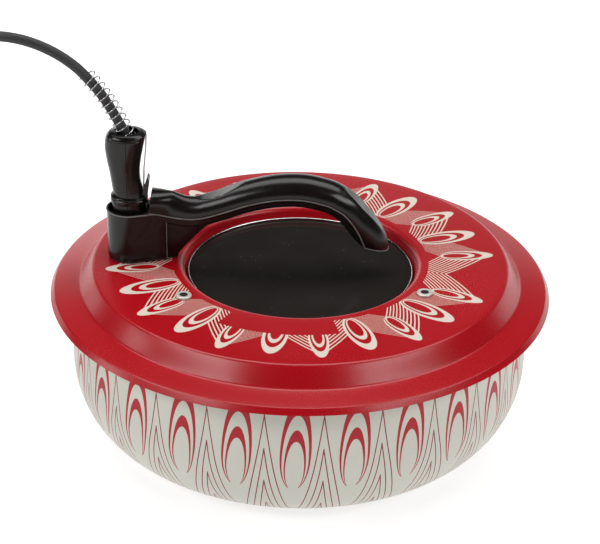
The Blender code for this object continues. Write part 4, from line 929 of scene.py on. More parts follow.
def lid_outline():
    foot = PLATEAU - STEP_HEIGHT
    return rounded((
        (WELL_RADIUS - LEDGE_WIDTH, PLATEAU - WELL_DEPTH, 0.0),
        (WELL_RADIUS, PLATEAU - WELL_DEPTH, LEDGE_FILLET),
        (WELL_RADIUS, PLATEAU - WELL_TAPER_DEPTH, WELL_FILLET),
        (WINDOW_RADIUS, PLATEAU, WINDOW_FILLET),
        (STEP_FOOT_RADIUS - STEP_RUN, PLATEAU, SOFT_FILLET),
        (STEP_FOOT_RADIUS, foot, SOFT_FILLET),
        (LID_HIGH.x - LIP_FLARE, LIP_LEVEL, LIP_FILLET),
        (LID_HIGH.x, LIP_LEVEL - LIP_DROP, 0.0),
    ), steps=8)


class CAKE_OT_lid(bpy.types.Operator):
    """Makes the pressed lid with its printed ring of petals"""

    bl_idname = "cake.lid"
    bl_label = "Lid"

    def execute(self, context):
        outline = subdivided(lid_outline(), PROFILE_STEP)
        piece = turned("lid", outline, "lid", steps=224, wall=settings("cake_lid").sheet)
        seat(piece, "lid", "lid_shell")
        return {"FINISHED"}


# Window: smoked glass on a seal, held by a spring ring
GLASS_CHAMFER = 0.0005
GLASS_STEP = 0.015
RING_SIDES = 12
SEAL_WIDTH = 0.0038
SEAL_FILLET = 0.0004


def glass_outline():
    edge = GLASS_HIGH.x
    corners = (
        (0.0, GLASS_HIGH.z, 0.0),
        (edge, GLASS_HIGH.z, GLASS_CHAMFER),
        (edge, GLASS_LOW.z, GLASS_CHAMFER),
        (0.0, GLASS_LOW.z, 0.0),
    )
    return subdivided(rounded(corners, steps=4), GLASS_STEP)


def ring_outline():
    """Section of the spring ring's wire."""
    wire = (RING_HIGH.z - RING_LOW.z) / 2
    middle = Vector((RING_HIGH.x - wire, (RING_LOW.z + RING_HIGH.z) / 2))
    angles = [FULL_TURN * step / RING_SIDES for step in range(RING_SIDES)]
    return [middle + Vector((math.cos(angle), math.sin(angle))) * wire for angle in angles]


def seal_outline():
    inner = SEAL_HIGH.x - SEAL_WIDTH
    return rounded((
        (inner, SEAL_HIGH.z, SEAL_FILLET),
        (SEAL_HIGH.x, SEAL_HIGH.z, SEAL_FILLET),
        (SEAL_HIGH.x, SEAL_LOW.z, 0.0),
        (inner, SEAL_LOW.z, 0.0),
    ), steps=3)


class CAKE_OT_window(bpy.types.Operator):
    """Makes the smoked window with its seal and spring ring"""

    bl_idname = "cake.window"
    bl_label = "Window"

    def execute(self, context):
        seat(turned("glass", glass_outline(), "glass"), "lid", "window_glass")
        ring = turned("glass_ring", ring_outline(), "bright", closed=True, sharp=TUBE_SHARP_ANGLE)
        seat(ring, "lid", "window_ring")
        seat(turned("glass_seal", seal_outline(), "silicone", closed=True), "lid", "window_seal")
        return {"FINISHED"}


# Lid screws
SCREW_HEAD_RADIUS = 0.0051
SCREW_HEAD_LOW = PLATEAU + 0.0003
SCREW_RECESS_RADIUS = 0.0027
SCREW_RECESS_DEPTH = 0.0007
SCREW_RECESS_TAPER = 0.0003
SCREW_RECESS_FILLET = 0.0002
SCREW_SHANK_RADIUS = 0.0020
SCREW_EDGE = 0.0014
SCREW_DROP = 0.0007
SCREW_SLOT = 0.0006
SCREWS = 3


def screw_outline(top, floor, tip):
    """Profile of a screw: its recess, its head, and its shank down to the tip."""
    return rounded((
        (0.0, floor, 0.0),
        (SCREW_RECESS_RADIUS - SCREW_RECESS_TAPER, floor, 0.0),
        (SCREW_RECESS_RADIUS, top, SCREW_RECESS_FILLET),
        (SCREW_HEAD_RADIUS, top, SCREW_EDGE),
        (SCREW_HEAD_RADIUS, SCREW_HEAD_LOW, 0.0),
        (SCREW_SHANK_RADIUS, SCREW_HEAD_LOW, 0.0),
        (SCREW_SHANK_RADIUS, tip, 0.0),
        (0.0, tip, 0.0),
    ), steps=5)


def screw_slots(low, high):
    """The crossed slots in a screw's recess."""
    half = SCREW_SLOT / 2
    sizes = ((SCREW_RECESS_RADIUS, half), (half, SCREW_RECESS_RADIUS))
    return [block("slot", (-x, -y, low), (x, y, high)) for x, y in sizes]


class CAKE_OT_screws(bpy.types.Operator):
    """Makes the screws of the lid with their recessed heads"""

    bl_idname = "cake.screws"
    bl_label = "Lid screws"

    def execute(self, context):
        for number in range(1, SCREWS + 1):
            node = f"lid_screw_{number}"
            low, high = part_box(node)
            middle = (low + high) / 2
            top = high.z - SCREW_DROP
            floor = top - SCREW_RECESS_DEPTH
            obj = turned(f"screw_{number}", screw_outline(top, floor, low.z), "nickel", steps=48)
            slots = screw_slots(floor - SCREW_SLOT, high.z + SCREW_SLOT)
            combine(obj, "DIFFERENCE", *slots)
            for form in (obj, *slots):
                form.location = (middle.x, middle.y, 0.0)
            piece = paint(finished(obj), "nickel")
            # The second slot holds the recess's painted shade, for the faces inside the recess
            piece.data.materials.append(material("recess"))
            for face in piece.data.polygons:
                inside = (face.center - middle).to_2d().length < SCREW_RECESS_RADIUS
                face.material_index = int(inside and SCREW_HEAD_LOW < face.center.z < top)
            seat(piece, "lid", node)
        return {"FINISHED"}


# Handle: a post round the inlet, a web and an arched grip; the grip's rows are shares of its sizes
HOUSING_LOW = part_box("handle_housing")[0].z
POST_X = -0.1127
POST_RADIUS = 0.0146
POST_HEIGHT = 0.0336
POST_TOP = HOUSING_LOW + POST_HEIGHT
POST_ARC_STEPS = 72
POST_EDGE = 0.0004
NECK_REACH = 0.0250
NECK_HALF_WIDTH = 0.0070
SOCKET_HALF_LENGTH = 0.0138
SOCKET_HALF_WIDTH = 0.01185
SOCKET_DEPTH = 0.0224
CAVITY_RADIUS = 0.0114
GRIP_START = -0.0986
GRIP_REACH = 0.1470
GRIP_RISE = 0.0130
GRIP_HALF_WIDTH = 0.0120
GRIP_CROWN = 0.0124
GRIP_BELLY = 0.0056
GRIP_ROWS = (
    (0.000, 0.05, 0.90, 1.00, 1.00, 0.45, -0.16),
    (0.040, -0.06, 0.77, 1.10, 1.00, 0.50, -0.08),
    (0.080, -0.18, 0.68, 1.19, 1.00, 0.85, 0.0),
    (0.120, -0.25, 0.69, 1.10, 1.02, 0.88, 0.0),
    (0.160, -0.27, 0.73, 1.00, 1.05, 0.90, 0.0),
    (0.198, -0.237, 0.785, 0.95, 1.05, 0.90, 0.0),
    (0.238, -0.145, 0.84, 0.93, 1.05, 0.90, 0.0),
    (0.280, 0.019, 0.89, 0.93, 1.05, 0.90, 0.0),
    (0.340, 0.275, 0.94, 0.94, 1.05, 0.90, 0.0),
    (0.431, 0.67, 0.98, 0.95, 1.05, 0.90, 0.0),
    (0.547, 0.99, 1.00, 0.98, 1.05, 0.90, 0.0),
    (0.670, 1.06, 1.00, 1.00, 1.05, 0.90, 0.0),
    (0.773, 0.83, 1.00, 1.00, 1.05, 0.90, 0.0),
    (0.820, 0.60, 1.00, 0.98, 1.05, 0.90, 0.0),
    (0.864, 0.27, 1.00, 0.97, 1.05, 0.90, 0.0),
    (0.900, -0.22, 0.99, 1.00, 1.05, 0.90, 0.0),
    (0.922, -0.62, 0.98, 1.08, 1.00, 0.88, 0.05),
    (0.938, -1.00, 0.95, 1.18, 0.86, 0.86, 0.16),
    (0.950, -1.34, 0.91, 1.28, 0.62, 0.84, 0.38),
    (0.957, -1.56, 0.85, 1.30, 0.36, 0.80, 0.62),
)
GRIP_ROW_STEPS = 7
GRIP_CROWN_STEPS = 40
GRIP_BELLY_SHARES = ((-0.97, 0.45), (-0.93, 0.80), (-0.80, 1.0), (0.80, 1.0), (0.93, 0.80), (0.97, 0.45))
GRIP_FLAT_SPANS = ((0.216, 0.436), (0.820, 0.950))
GRIP_FLAT_DEPTH = 0.0017
SEAM_BEAD = 0.0005
SEAM_INSET = 0.0009
CORNER_BEAD = 0.0003
SEAL_INSET = 0.0010
WEB_HALF_THICKNESS = 0.0045
WEB_EDGE = 0.0007
WEB_FOOT_X = -0.0810
WEB_REACH = 0.0350
WEB_TOP_SHARE = 0.05
WEB_EDGE_STEPS = 5
WEB_EDGE_SHARES = (
    (0.00, 0.00),
    (0.04, 0.11),
    (0.23, 0.345),
    (0.42, 0.555),
    (0.70, 0.815),
    (0.93, 0.89),
    (1.00, 1.00),
)
HANDLE_SHARP_ANGLE = math.radians(24.0)


def post_outline(grow):
    """Plan of the post: round at the inlet, then flanks that draw in towards the window."""
    radius = POST_RADIUS + grow
    corner = Vector((NECK_REACH, NECK_HALF_WIDTH + grow))
    touching = math.atan2(corner.y, corner.x) + math.acos(radius / corner.length)
    sweep = FULL_TURN - 2 * touching
    points = [(POST_X + corner.x, corner.y)]
    for step in range(POST_ARC_STEPS + 1):
        angle = touching + sweep * step / POST_ARC_STEPS
        points.append((POST_X + radius * math.cos(angle), radius * math.sin(angle)))
    points.append((POST_X + corner.x, -corner.y))
    return points


def post_form():
    levels = (
        (HOUSING_LOW, -POST_EDGE),
        (HOUSING_LOW + POST_EDGE, 0.0),
        (POST_TOP - POST_EDGE, 0.0),
        (POST_TOP, -POST_EDGE),
    )
    return raised("handle", [(post_outline(grow), level) for level, grow in levels])


def flat_drop(reach_share):
    """How far the crown is cut down at a place along the grip, where one of its flats lies."""
    drop = 0.0
    for start, end in GRIP_FLAT_SPANS:
        from_middle = (2 * reach_share - start - end) / (end - start)
        drop = max(drop, GRIP_FLAT_DEPTH * (1 - from_middle * from_middle))
    return drop


def grip_rows():
    """For each section of the grip: its place, its upward direction, and its sizes."""
    rows = eased(GRIP_ROWS, GRIP_ROW_STEPS)
    path = [Vector((GRIP_START + GRIP_REACH * row[0], 0.0, POST_TOP + GRIP_RISE * row[1])) for row in rows]
    result = []
    for index, (reach_share, _, width_share, crown_share, belly_share, power, lean) in enumerate(rows):
        before = path[max(index - 1, 0)]
        after = path[min(index + 1, len(path) - 1)]
        up = Matrix.Rotation(lean, 3, Y_AXIS) @ (after - before).normalized().cross(Y_AXIS)
        half_width = GRIP_HALF_WIDTH * width_share
        crown = GRIP_CROWN * crown_share
        flat = crown - flat_drop(reach_share)
        result.append((path[index], up, (half_width, crown, flat, GRIP_BELLY * belly_share, power)))
    return result


def crown_places(half_width, crown, flat, power):
    """Across and up from the grip's path, round its crown."""
    places = []
    for step in range(GRIP_CROWN_STEPS + 1):
        angle = math.pi * step / GRIP_CROWN_STEPS
        lift = crown * max(0.0, math.sin(angle)) ** power
        places.append((half_width * math.cos(angle), min(lift, flat)))
    return places


def in_section(place, up, places):
    """Points of one section, from how far across and up they lie."""
    return [place + Y_AXIS * across + up * lift for across, lift in places]


def grip_form():
    """The grip: a crown with two flats, and the belly set in below it."""
    sections = []
    for place, up, (half_width, crown, flat, belly, power) in grip_rows():
        inset = -SEAM_INSET * belly / GRIP_BELLY
        places = crown_places(half_width, crown, flat, power)
        places.append((half_width * GRIP_BELLY_SHARES[0][0], inset))
        places.extend((half_width * side, -belly * depth) for side, depth in GRIP_BELLY_SHARES)
        places.append((half_width * GRIP_BELLY_SHARES[-1][0], inset))
        sections.append(in_section(place, up, places))
    return lofted("grip form", sections)


def seam_lines():
    """The mould's parting lines, each with its bead: round the grip, round the post, down its corners."""
    rows = grip_rows()
    sides = [[place + Y_AXIS * side * sizes[0] for place, _, sizes in rows] for side in (-1, 1)]
    place, up, (half_width, crown, flat, _, power) = rows[-1]
    end = in_section(place, up, crown_places(half_width, crown, flat, power))
    rim = [Vector((x, y, POST_TOP - POST_EDGE / 2)) for x, y in post_outline(0.0)]
    lines = [(sides[0] + end[::-1] + sides[1][::-1], SEAM_BEAD), (rim, SEAM_BEAD)]
    for corner in (rim[0], rim[-1]):
        foot = Vector((corner.x, corner.y, HOUSING_LOW + POST_EDGE))
        lines.append(([corner - Z_AXIS * POST_EDGE, foot], CORNER_BEAD))
    return lines


def web_form():
    """The web that carries the grip down to the post's foot."""
    rise = POST_HEIGHT + GRIP_RISE * WEB_TOP_SHARE
    edge = eased(WEB_EDGE_SHARES, WEB_EDGE_STEPS)
    outline = [Vector((WEB_FOOT_X + WEB_REACH * run, HOUSING_LOW + rise * up)) for run, up in edge]
    back = POST_X + NECK_REACH - WEB_HALF_THICKNESS
    outline = [Vector((back, HOUSING_LOW)), *outline, Vector((back, HOUSING_LOW + rise))]
    return prism("web form", outline, 2 * WEB_HALF_THICKNESS, WEB_EDGE)


def seal_form():
    """The flat seal under the post, drawn in from the post's edge."""
    low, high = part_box("housing_seal")
    outline = post_outline(-SEAL_INSET)
    seal = raised("seal", ((outline, low.z), (outline, high.z)))
    hole = drum("seal hole", CAVITY_RADIUS, low.z - SEAL_INSET, high.z + SEAL_INSET, POST_X)
    return combine(seal, "DIFFERENCE", hole)


class CAKE_OT_handle(bpy.types.Operator):
    """Makes the handle, with post, web and arched grip in one moulding, and its seal"""

    bl_idname = "cake.handle"
    bl_label = "Handle"

    def execute(self, context):
        floor = POST_TOP - SOCKET_DEPTH
        above = POST_TOP + SOCKET_DEPTH
        handle = combine(post_form(), "UNION", grip_form(), web_form())
        socket = drum("socket", SOCKET_HALF_LENGTH, floor, above, POST_X, half_width=SOCKET_HALF_WIDTH)
        cavity = drum("cavity", CAVITY_RADIUS, HOUSING_LOW - POST_EDGE, floor + POST_EDGE, POST_X)
        combine(handle, "DIFFERENCE", socket, cavity)
        handle = paint(finished(handle, HANDLE_SHARP_ANGLE), "bakelite")
        # The seam beads are pale grey: scraped flash with a painted highlight along the parting lines
        seams = [tube("seam", points, bead, "scraped bakelite", sides=8) for points, bead in seam_lines()]
        seat(joined(handle, *seams), "lid", "handle_housing")
        seat(paint(finished(seal_form()), "silicone"), "lid", "housing_seal")
        return {"FINISHED"}


# Connector: two shell halves; rows of height, reach left, reach right and half width, all in shares
SHELL_LOW, SHELL_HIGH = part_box("connector_shell_outer")
CONNECTOR_X = -0.1128
CONNECTOR_REACH = 0.0130
CONNECTOR_HALF_WIDTH = 0.0114
CONNECTOR_STEPS = 72
CONNECTOR_POWER = 0.86
COLLAR_ROWS = (
    (0.000, 0.80, 0.80, 0.81),
    (0.004, 0.83, 0.83, 0.83),
    (0.296, 0.83, 0.84, 0.83),
    (0.302, 0.88, 0.93, 0.89),
    (0.306, 0.89, 0.95, 0.90),
    (0.340, 0.90, 0.97, 0.91),
    (0.345, 0.88, 0.95, 0.89),
    (0.350, 0.90, 0.97, 0.91),
    (0.364, 0.89, 0.96, 0.90),
    (0.369, 0.86, 0.93, 0.88),
)
WAIST_ROWS = (
    (0.374, 0.74, 0.79, 0.78),
    (0.411, 0.77, 0.73, 0.78),
    (0.454, 0.81, 0.69, 0.79),
    (0.508, 0.845, 0.635, 0.81),
    (0.561, 0.885, 0.605, 0.83),
    (0.625, 0.935, 0.605, 0.86),
    (0.688, 1.00, 0.64, 0.90),
    (0.752, 1.055, 0.695, 0.94),
    (0.815, 1.10, 0.76, 0.97),
    (0.868, 1.115, 0.815, 0.99),
    (0.930, 1.08, 0.885, 1.00),
)
CAP_ROWS = (
    (0.942, 1.065, 0.895, 0.995),
    (0.946, 1.045, 0.885, 0.975),
    (0.954, 1.04, 0.90, 0.975),
    (0.958, 1.04, 0.93, 0.985),
    (0.970, 1.005, 0.955, 0.965),
    (0.979, 0.97, 0.964, 0.94),
    (0.989, 0.925, 0.88, 0.88),
    (0.996, 0.89, 0.82, 0.83),
    (1.000, 0.85, 0.78, 0.78),
)
WAIST_STEPS = 5
SHELL_SHARP_ANGLE = math.radians(30.0)
SHELL_GAP = 0.0003
MOUTH_RADIUS = 0.0075
MOUTH_DEPTH = 0.0065
CORD_BORE_RADIUS = 0.0036
CORD_BORE_DEPTH = 0.0140
CONTACT_BORE_RADIUS = 0.0035
CONTACT_BORE_DEPTH = 0.0176
CONTACT_SPACING = 0.0052
JOIN_SCREW_SHARE = 0.74
JOIN_SCREW_SEAT_RADIUS = 0.0028
JOIN_SCREW_SEAT_X = 0.0089
# Earth strip, and the horn over it where it dives into the collar; rows of height and reach, in shares
STRIP_LOW, STRIP_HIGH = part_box("earth_strip")
STRIP_THICKNESS = 0.0005
STRIP_CLEARANCE = 0.0003
STRIP_ROW_STEPS = 3
STRIP_ROWS = (
    (0.080, 0.9277),
    (0.250, 0.9277),
    (0.300, 0.905),
    (0.360, 0.835),
    (0.420, 0.785),
    (0.470, 0.785),
    (0.530, 0.805),
    (0.580, 0.815),
    (0.624, 0.820),
    (0.688, 0.855),
    (0.794, 0.910),
    (0.870, 0.945),
    (0.955, 0.962),
)
HORN_ROWS = (
    (0.330, 0.930),
    (0.367, 0.955),
    (0.410, 0.985),
    (0.475, 1.040),
    (0.518, 1.080),
    (0.545, 1.045),
    (0.558, 0.985),
    (0.550, 0.950),
    (0.528, 0.920),
    (0.495, 0.865),
    (0.452, 0.797),
    (0.409, 0.728),
    (0.330, 0.700),
)
HORN_CHEEK = 0.0008


def along_connector(share):
    return SHELL_LOW.z + (SHELL_HIGH.z - SHELL_LOW.z) * share


def connector_form(name):
    """The connector's whole outside."""
    sections = []
    rows = (*COLLAR_ROWS, *eased(WAIST_ROWS, WAIST_STEPS), *CAP_ROWS)
    for height_share, left_share, right_share, width_share in rows:
        middle = CONNECTOR_X + CONNECTOR_REACH * (right_share - left_share) / 2
        half_length = CONNECTOR_REACH * (right_share + left_share) / 2
        section = []
        for step in range(CONNECTOR_STEPS):
            angle = FULL_TURN * step / CONNECTOR_STEPS
            across = math.copysign(abs(math.cos(angle)) ** CONNECTOR_POWER, math.cos(angle))
            along = math.copysign(abs(math.sin(angle)) ** CONNECTOR_POWER, math.sin(angle))
            y = CONNECTOR_HALF_WIDTH * width_share * along
            section.append((middle + half_length * across, y, along_connector(height_share)))
        sections.append(section)
    return lofted(name, sections)


def beside_connector(rows, grow=0.0):
    """Points in the middle plane, to the right of the connector's axis."""
    return [
        Vector((CONNECTOR_X + CONNECTOR_REACH * reach + grow, along_connector(height)))
        for height, reach in eased(rows, STRIP_ROW_STEPS)
    ]


def strip_form(name, clearance=0.0):
    """The earth strip, or the room that it needs with some clearance."""
    outer = beside_connector(STRIP_ROWS, clearance)
    inner = beside_connector(STRIP_ROWS, -STRIP_THICKNESS - clearance)
    outer[-1].y += clearance
    inner[-1].y += clearance
    return prism(name, [*outer, *reversed(inner)], STRIP_HIGH.y - STRIP_LOW.y + 2 * clearance)


def horn_form():
    """A horn on the collar that covers the strip where it dives in."""
    width = STRIP_HIGH.y - STRIP_LOW.y + 2 * (STRIP_CLEARANCE + HORN_CHEEK)
    return prism("horn form", beside_connector(HORN_ROWS), width)


def shell_cutters():
    """The bores for the contacts and the lead, the screw's seat, and the room for the earth strip."""
    top = SHELL_HIGH.z
    above = top + MOUTH_DEPTH
    levels = (SHELL_LOW.z - MOUTH_DEPTH, SHELL_LOW.z + CONTACT_BORE_DEPTH)
    cutters = [
        drum("contact bore", CONTACT_BORE_RADIUS, *levels, CONNECTOR_X, side * CONTACT_SPACING, steps=24)
        for side in (-1, 1)
    ]
    cutters.append(drum("cord bore", CORD_BORE_RADIUS, top - CORD_BORE_DEPTH, above, CONNECTOR_X))
    cutters.append(drum("mouth", MOUTH_RADIUS, top - MOUTH_DEPTH, above, CONNECTOR_X))
    screw_seat = drum("screw seat", JOIN_SCREW_SEAT_RADIUS, JOIN_SCREW_SEAT_X, 2 * CONNECTOR_REACH, steps=32)
    screw_seat.location = (CONNECTOR_X, 0.0, along_connector(JOIN_SCREW_SHARE))
    screw_seat.rotation_euler = (0.0, -QUARTER_TURN, 0.0)
    return [*cutters, screw_seat, strip_form("strip slot", STRIP_CLEARANCE)]


class CAKE_OT_connector(bpy.types.Operator):
    """Makes the appliance connector: two shell halves with a horn over the earth strip"""

    bl_idname = "cake.connector"
    bl_label = "Connector"

    def execute(self, context):
        reach = 2 * CONNECTOR_REACH
        low = SHELL_LOW.z - MOUTH_DEPTH
        high = SHELL_HIGH.z + MOUTH_DEPTH
        for node, side in (("connector_shell_outer", -1), ("connector_shell_inner", 1)):
            shell = connector_form(node.replace("connector", "plug_in"))
            if side > 0:
                combine(shell, "UNION", horn_form())
            near = CONNECTOR_X + side * SHELL_GAP / 2
            far = CONNECTOR_X - side * reach
            other_half = block("other half", (min(near, far), -reach, low), (max(near, far), reach, high))
            combine(shell, "DIFFERENCE", other_half, *shell_cutters())
            seat(paint(finished(shell, SHELL_SHARP_ANGLE), "bakelite"), "connector", node)
        seat(paint(finished(strip_form("strip")), "strip"), "connector", "earth_strip")
        return {"FINISHED"}


# Strain-relief spring
SPRING_WIRE_RADIUS = 0.00045
SPRING_RADIUS = 0.00535
SPRING_OFFSET = 0.0008
SPRING_LENGTH = 0.0505
SPRING_OPEN_TURNS = 10.0
SPRING_CLOSED_TURNS = 1.5
SPRING_CLOSED_PITCH = 0.0021
SPRING_TURN_POINTS = 36
SPRING_PATH_STEP = 0.0001
SPRING_SEAT = 0.0003


def spring_points():
    """A wire wound round the lead: close turns in the connector's mouth, then open ones up to the bend."""
    fine = smooth_route(UPPER_ROUTE, SPRING_PATH_STEP)
    floor = SHELL_HIGH.z - MOUTH_DEPTH + SPRING_WIRE_RADIUS + SPRING_SEAT
    first = next(index for index, point in enumerate(fine) if point.z > floor)
    closed_length = SPRING_CLOSED_TURNS * SPRING_CLOSED_PITCH
    open_pitch = (SPRING_LENGTH - closed_length) / SPRING_OPEN_TURNS
    points = []
    for number in range(round((SPRING_CLOSED_TURNS + SPRING_OPEN_TURNS) * SPRING_TURN_POINTS) + 1):
        turns = number / SPRING_TURN_POINTS
        closed = min(turns, SPRING_CLOSED_TURNS)
        distance = closed * SPRING_CLOSED_PITCH + (turns - closed) * open_pitch
        index = first + round(distance / SPRING_PATH_STEP)
        along = (fine[index + 1] - fine[index - 1]).normalized()
        outward = Y_AXIS.cross(along)
        angle = FULL_TURN * turns
        arm = outward * math.cos(angle) + Y_AXIS * math.sin(angle)
        points.append(fine[index] + outward * SPRING_OFFSET + arm * SPRING_RADIUS)
    return points


class CAKE_OT_spring(bpy.types.Operator):
    """Makes the wound spring that keeps the lead from kinking at the connector"""

    bl_idname = "cake.spring"
    bl_label = "Spring"

    def execute(self, context):
        spring = tube("spring", spring_points(), SPRING_WIRE_RADIUS, "spring", sides=10)
        seat(spring, "connector", "cord_spring")
        return {"FINISHED"}


# Mains plug, lying on its rim beside the coil
PLUG_RADIUS = 0.0183
PLUG_LENGTH = 0.0380
PLUG_ROWS = (
    (0.000, 0.0183),
    (0.400, 0.0183),
    (0.460, 0.0160),
    (0.540, 0.0140),
    (0.620, 0.0127),
    (0.720, 0.0117),
    (0.860, 0.0097),
    (1.000, 0.0076),
)
PLUG_ROW_STEPS = 6
PLUG_EDGE = 0.0010
PLUG_EDGE_STEPS = 4
PLUG_GROOVES = 5
PLUG_GROOVE_DEPTH = 0.0004
PLUG_GROOVES_FROM = 0.56
PLUG_NOTCH_WIDTH = 0.0060
PLUG_NOTCH_DEPTH = 0.0026
PLUG_NOTCH_LENGTH = 0.0135
PLUG_PIN_SEAT_RADIUS = 0.0027
PLUG_PIN_HALF_SPACING = 0.0095
PLUG_PIN_SEAT = 0.0060
RELIEF_LENGTH = 0.0260
RELIEF_TIP_RADIUS = 0.0046
RELIEF_ROOT_RADIUS = 0.0076
RELIEF_RIBS = 7
RELIEF_GROOVE_DEPTH = 0.0009
PLUG_SEAT = 0.0003
PLUG_FACE = RELIEF_LENGTH + PLUG_SEAT + PLUG_LENGTH
# A rib and its groove: how far along the pitch, and how deep, in shares
RELIEF_GROOVE = ((0.35, 0.0), (0.45, 1.0), (0.85, 1.0), (0.95, 0.0))


def plug_matrix():
    """Lays the plug down with its pins pointing away from the lead's end."""
    end = Vector(TAIL_ROUTE[-1])
    end.z = PLUG_RADIUS
    return Matrix.Translation(end - Y_AXIS * PLUG_SEAT) @ Matrix.Rotation(QUARTER_TURN, 4, "X")


def relief_outline():
    """A tapering sleeve with grooves between its ribs, from the root down."""
    outline = [Vector((0.0, RELIEF_LENGTH)), Vector((RELIEF_ROOT_RADIUS, RELIEF_LENGTH))]
    pitch = RELIEF_LENGTH / (RELIEF_RIBS + 1)
    for number in range(RELIEF_RIBS):
        for run, depth in RELIEF_GROOVE:
            level = RELIEF_LENGTH - pitch * (number + run)
            radius = RELIEF_TIP_RADIUS + (RELIEF_ROOT_RADIUS - RELIEF_TIP_RADIUS) * level / RELIEF_LENGTH
            outline.append(Vector((radius - RELIEF_GROOVE_DEPTH * depth, level)))
    return [*outline, Vector((RELIEF_TIP_RADIUS, 0.0)), Vector((0.0, 0.0))]


def plug_outline():
    """The plug's body, from its face back to the relief, with finger grooves on the narrow part."""
    outline = [Vector((0.0, PLUG_FACE))]
    for step in range(PLUG_EDGE_STEPS + 1):
        angle = QUARTER_TURN * step / PLUG_EDGE_STEPS
        radius = PLUG_RADIUS - PLUG_EDGE * (1 - math.sin(angle))
        outline.append(Vector((radius, PLUG_FACE - PLUG_EDGE * (1 - math.cos(angle)))))
    for share, radius in eased(PLUG_ROWS, PLUG_ROW_STEPS)[1:]:
        groove = 0.0
        if share > PLUG_GROOVES_FROM:
            groove = PLUG_GROOVE_DEPTH * max(0.0, math.sin(FULL_TURN * PLUG_GROOVES * share))
        outline.append(Vector((min(radius, PLUG_RADIUS) - groove, PLUG_FACE - PLUG_LENGTH * share)))
    outline.append(Vector((0.0, PLUG_FACE - PLUG_LENGTH)))
    return [point for point in outline if point.y <= PLUG_FACE]


def plug_cutters():
    """The seats of the two pins, and the notches of the two earth clips."""
    pin_levels = (PLUG_FACE - PLUG_PIN_SEAT, PLUG_FACE + PLUG_PIN_SEAT)
    cutters = [
        drum("pin seat", PLUG_PIN_SEAT_RADIUS, *pin_levels, side * PLUG_PIN_HALF_SPACING, steps=24)
        for side in (-1, 1)
    ]
    for side in (-1, 1):
        floor = side * (PLUG_RADIUS - PLUG_NOTCH_DEPTH)
        outer = side * 2 * PLUG_RADIUS
        low = (-PLUG_NOTCH_WIDTH / 2, min(floor, outer), PLUG_FACE - PLUG_NOTCH_LENGTH)
        cutters.append(block("notch", low, (PLUG_NOTCH_WIDTH / 2, max(floor, outer), 2 * PLUG_FACE)))
    return cutters


class CAKE_OT_plug(bpy.types.Operator):
    """Makes the mains plug and its ribbed relief"""

    bl_idname = "cake.plug"
    bl_label = "Mains plug"

    def execute(self, context):
        matrix = plug_matrix()
        relief = turned("relief", relief_outline(), "silicone", steps=48)
        relief.data.transform(matrix)
        seat(relief, "pan", "plug_relief")
        body = turned("plug", plug_outline(), "bakelite", steps=96)
        body = paint(finished(combine(body, "DIFFERENCE", *plug_cutters())), "bakelite")
        body.data.transform(matrix)
        seat(body, "pan", "plug_body")
        return {"FINISHED"}


# Mains lead: the routes of its stretches, in real places
UPPER_ROUTE = (
    (-0.1128, 0.0, 0.1912),
    (-0.1128, 0.0, 0.1985),
    (-0.1146, 0.0, 0.2046),
    (-0.1184, 0.0, 0.2120),
    (-0.1239, 0.0, 0.2222),
    (-0.1297, 0.0, 0.2314),
    (-0.1368, 0.0, 0.2402),
    (-0.1445, 0.0, 0.2482),
    (-0.1550, 0.0, 0.2558),
    (-0.1670, 0.0, 0.2618),
    (-0.1800, 0.0005, 0.2655),
    (-0.1935, 0.0020, 0.2663),
    (-0.2065, 0.0050, 0.2633),
    (-0.2180, 0.0100, 0.2560),
    (-0.2270, 0.0160, 0.2445),
    (-0.2325, 0.0230, 0.2300),
    (-0.2353, 0.0310, 0.2120),
    (-0.2360, 0.0390, 0.1900),
    (-0.2360, 0.0450, 0.1600),
    (-0.2360, 0.0480, 0.1300),
)
LOWER_ROUTE = (
    (-0.2360, 0.0480, 0.1297),
    (-0.2360, 0.0480, 0.1000),
    (-0.2360, 0.0480, 0.0700),
    (-0.2360, 0.0480, 0.0402),
    (-0.2360, 0.0453, 0.0264),
    (-0.2360, 0.0375, 0.0147),
    (-0.2360, 0.0258, 0.0069),
    (-0.2360, 0.0160, 0.0045),
    (-0.2360, 0.0069, 0.0042),
)
TAIL_ROUTE = (
    (-0.2360, -0.0069, 0.0114),
    (-0.2360, -0.0180, 0.0119),
    (-0.2360, -0.0300, 0.0142),
    (-0.2360, -0.0410, 0.0168),
    (-0.2360, -0.0500, 0.0181),
    (-0.2360, -0.0570, 0.0183),
)
COIL_CENTRE = Vector((-0.2812, 0.0))
COIL_MID_RADIUS = 0.0380
COIL_PITCH = 0.0072
COIL_LAYER_TURNS = 2
COIL_CLIMB_TURNS = 0.5
COIL_TURN_POINTS = 48
COIL_LEVEL = 0.0042
COIL_RUN = 0.0066
CORD_STEP = 0.003
ROUTE_FINENESS = 24


def smooth_route(route, step):
    """Even points on a smooth curve through the route's points."""
    return resampled(eased(route, ROUTE_FINENESS), step)


def path_length(points):
    return sum((Vector(second) - Vector(first)).length for first, second in zip(points, points[1:]))


def resampled(points, step):
    """Even points along a line of points."""
    total = path_length(points)
    count = max(1, round(total / step))
    result = [points[0]]
    travelled = 0.0
    for first, second in zip(points, points[1:]):
        span = (second - first).length
        while len(result) < count and len(result) * total / count <= travelled + span:
            result.append(first.lerp(second, (len(result) * total / count - travelled) / span))
        travelled += span
    result.append(points[-1])
    return result


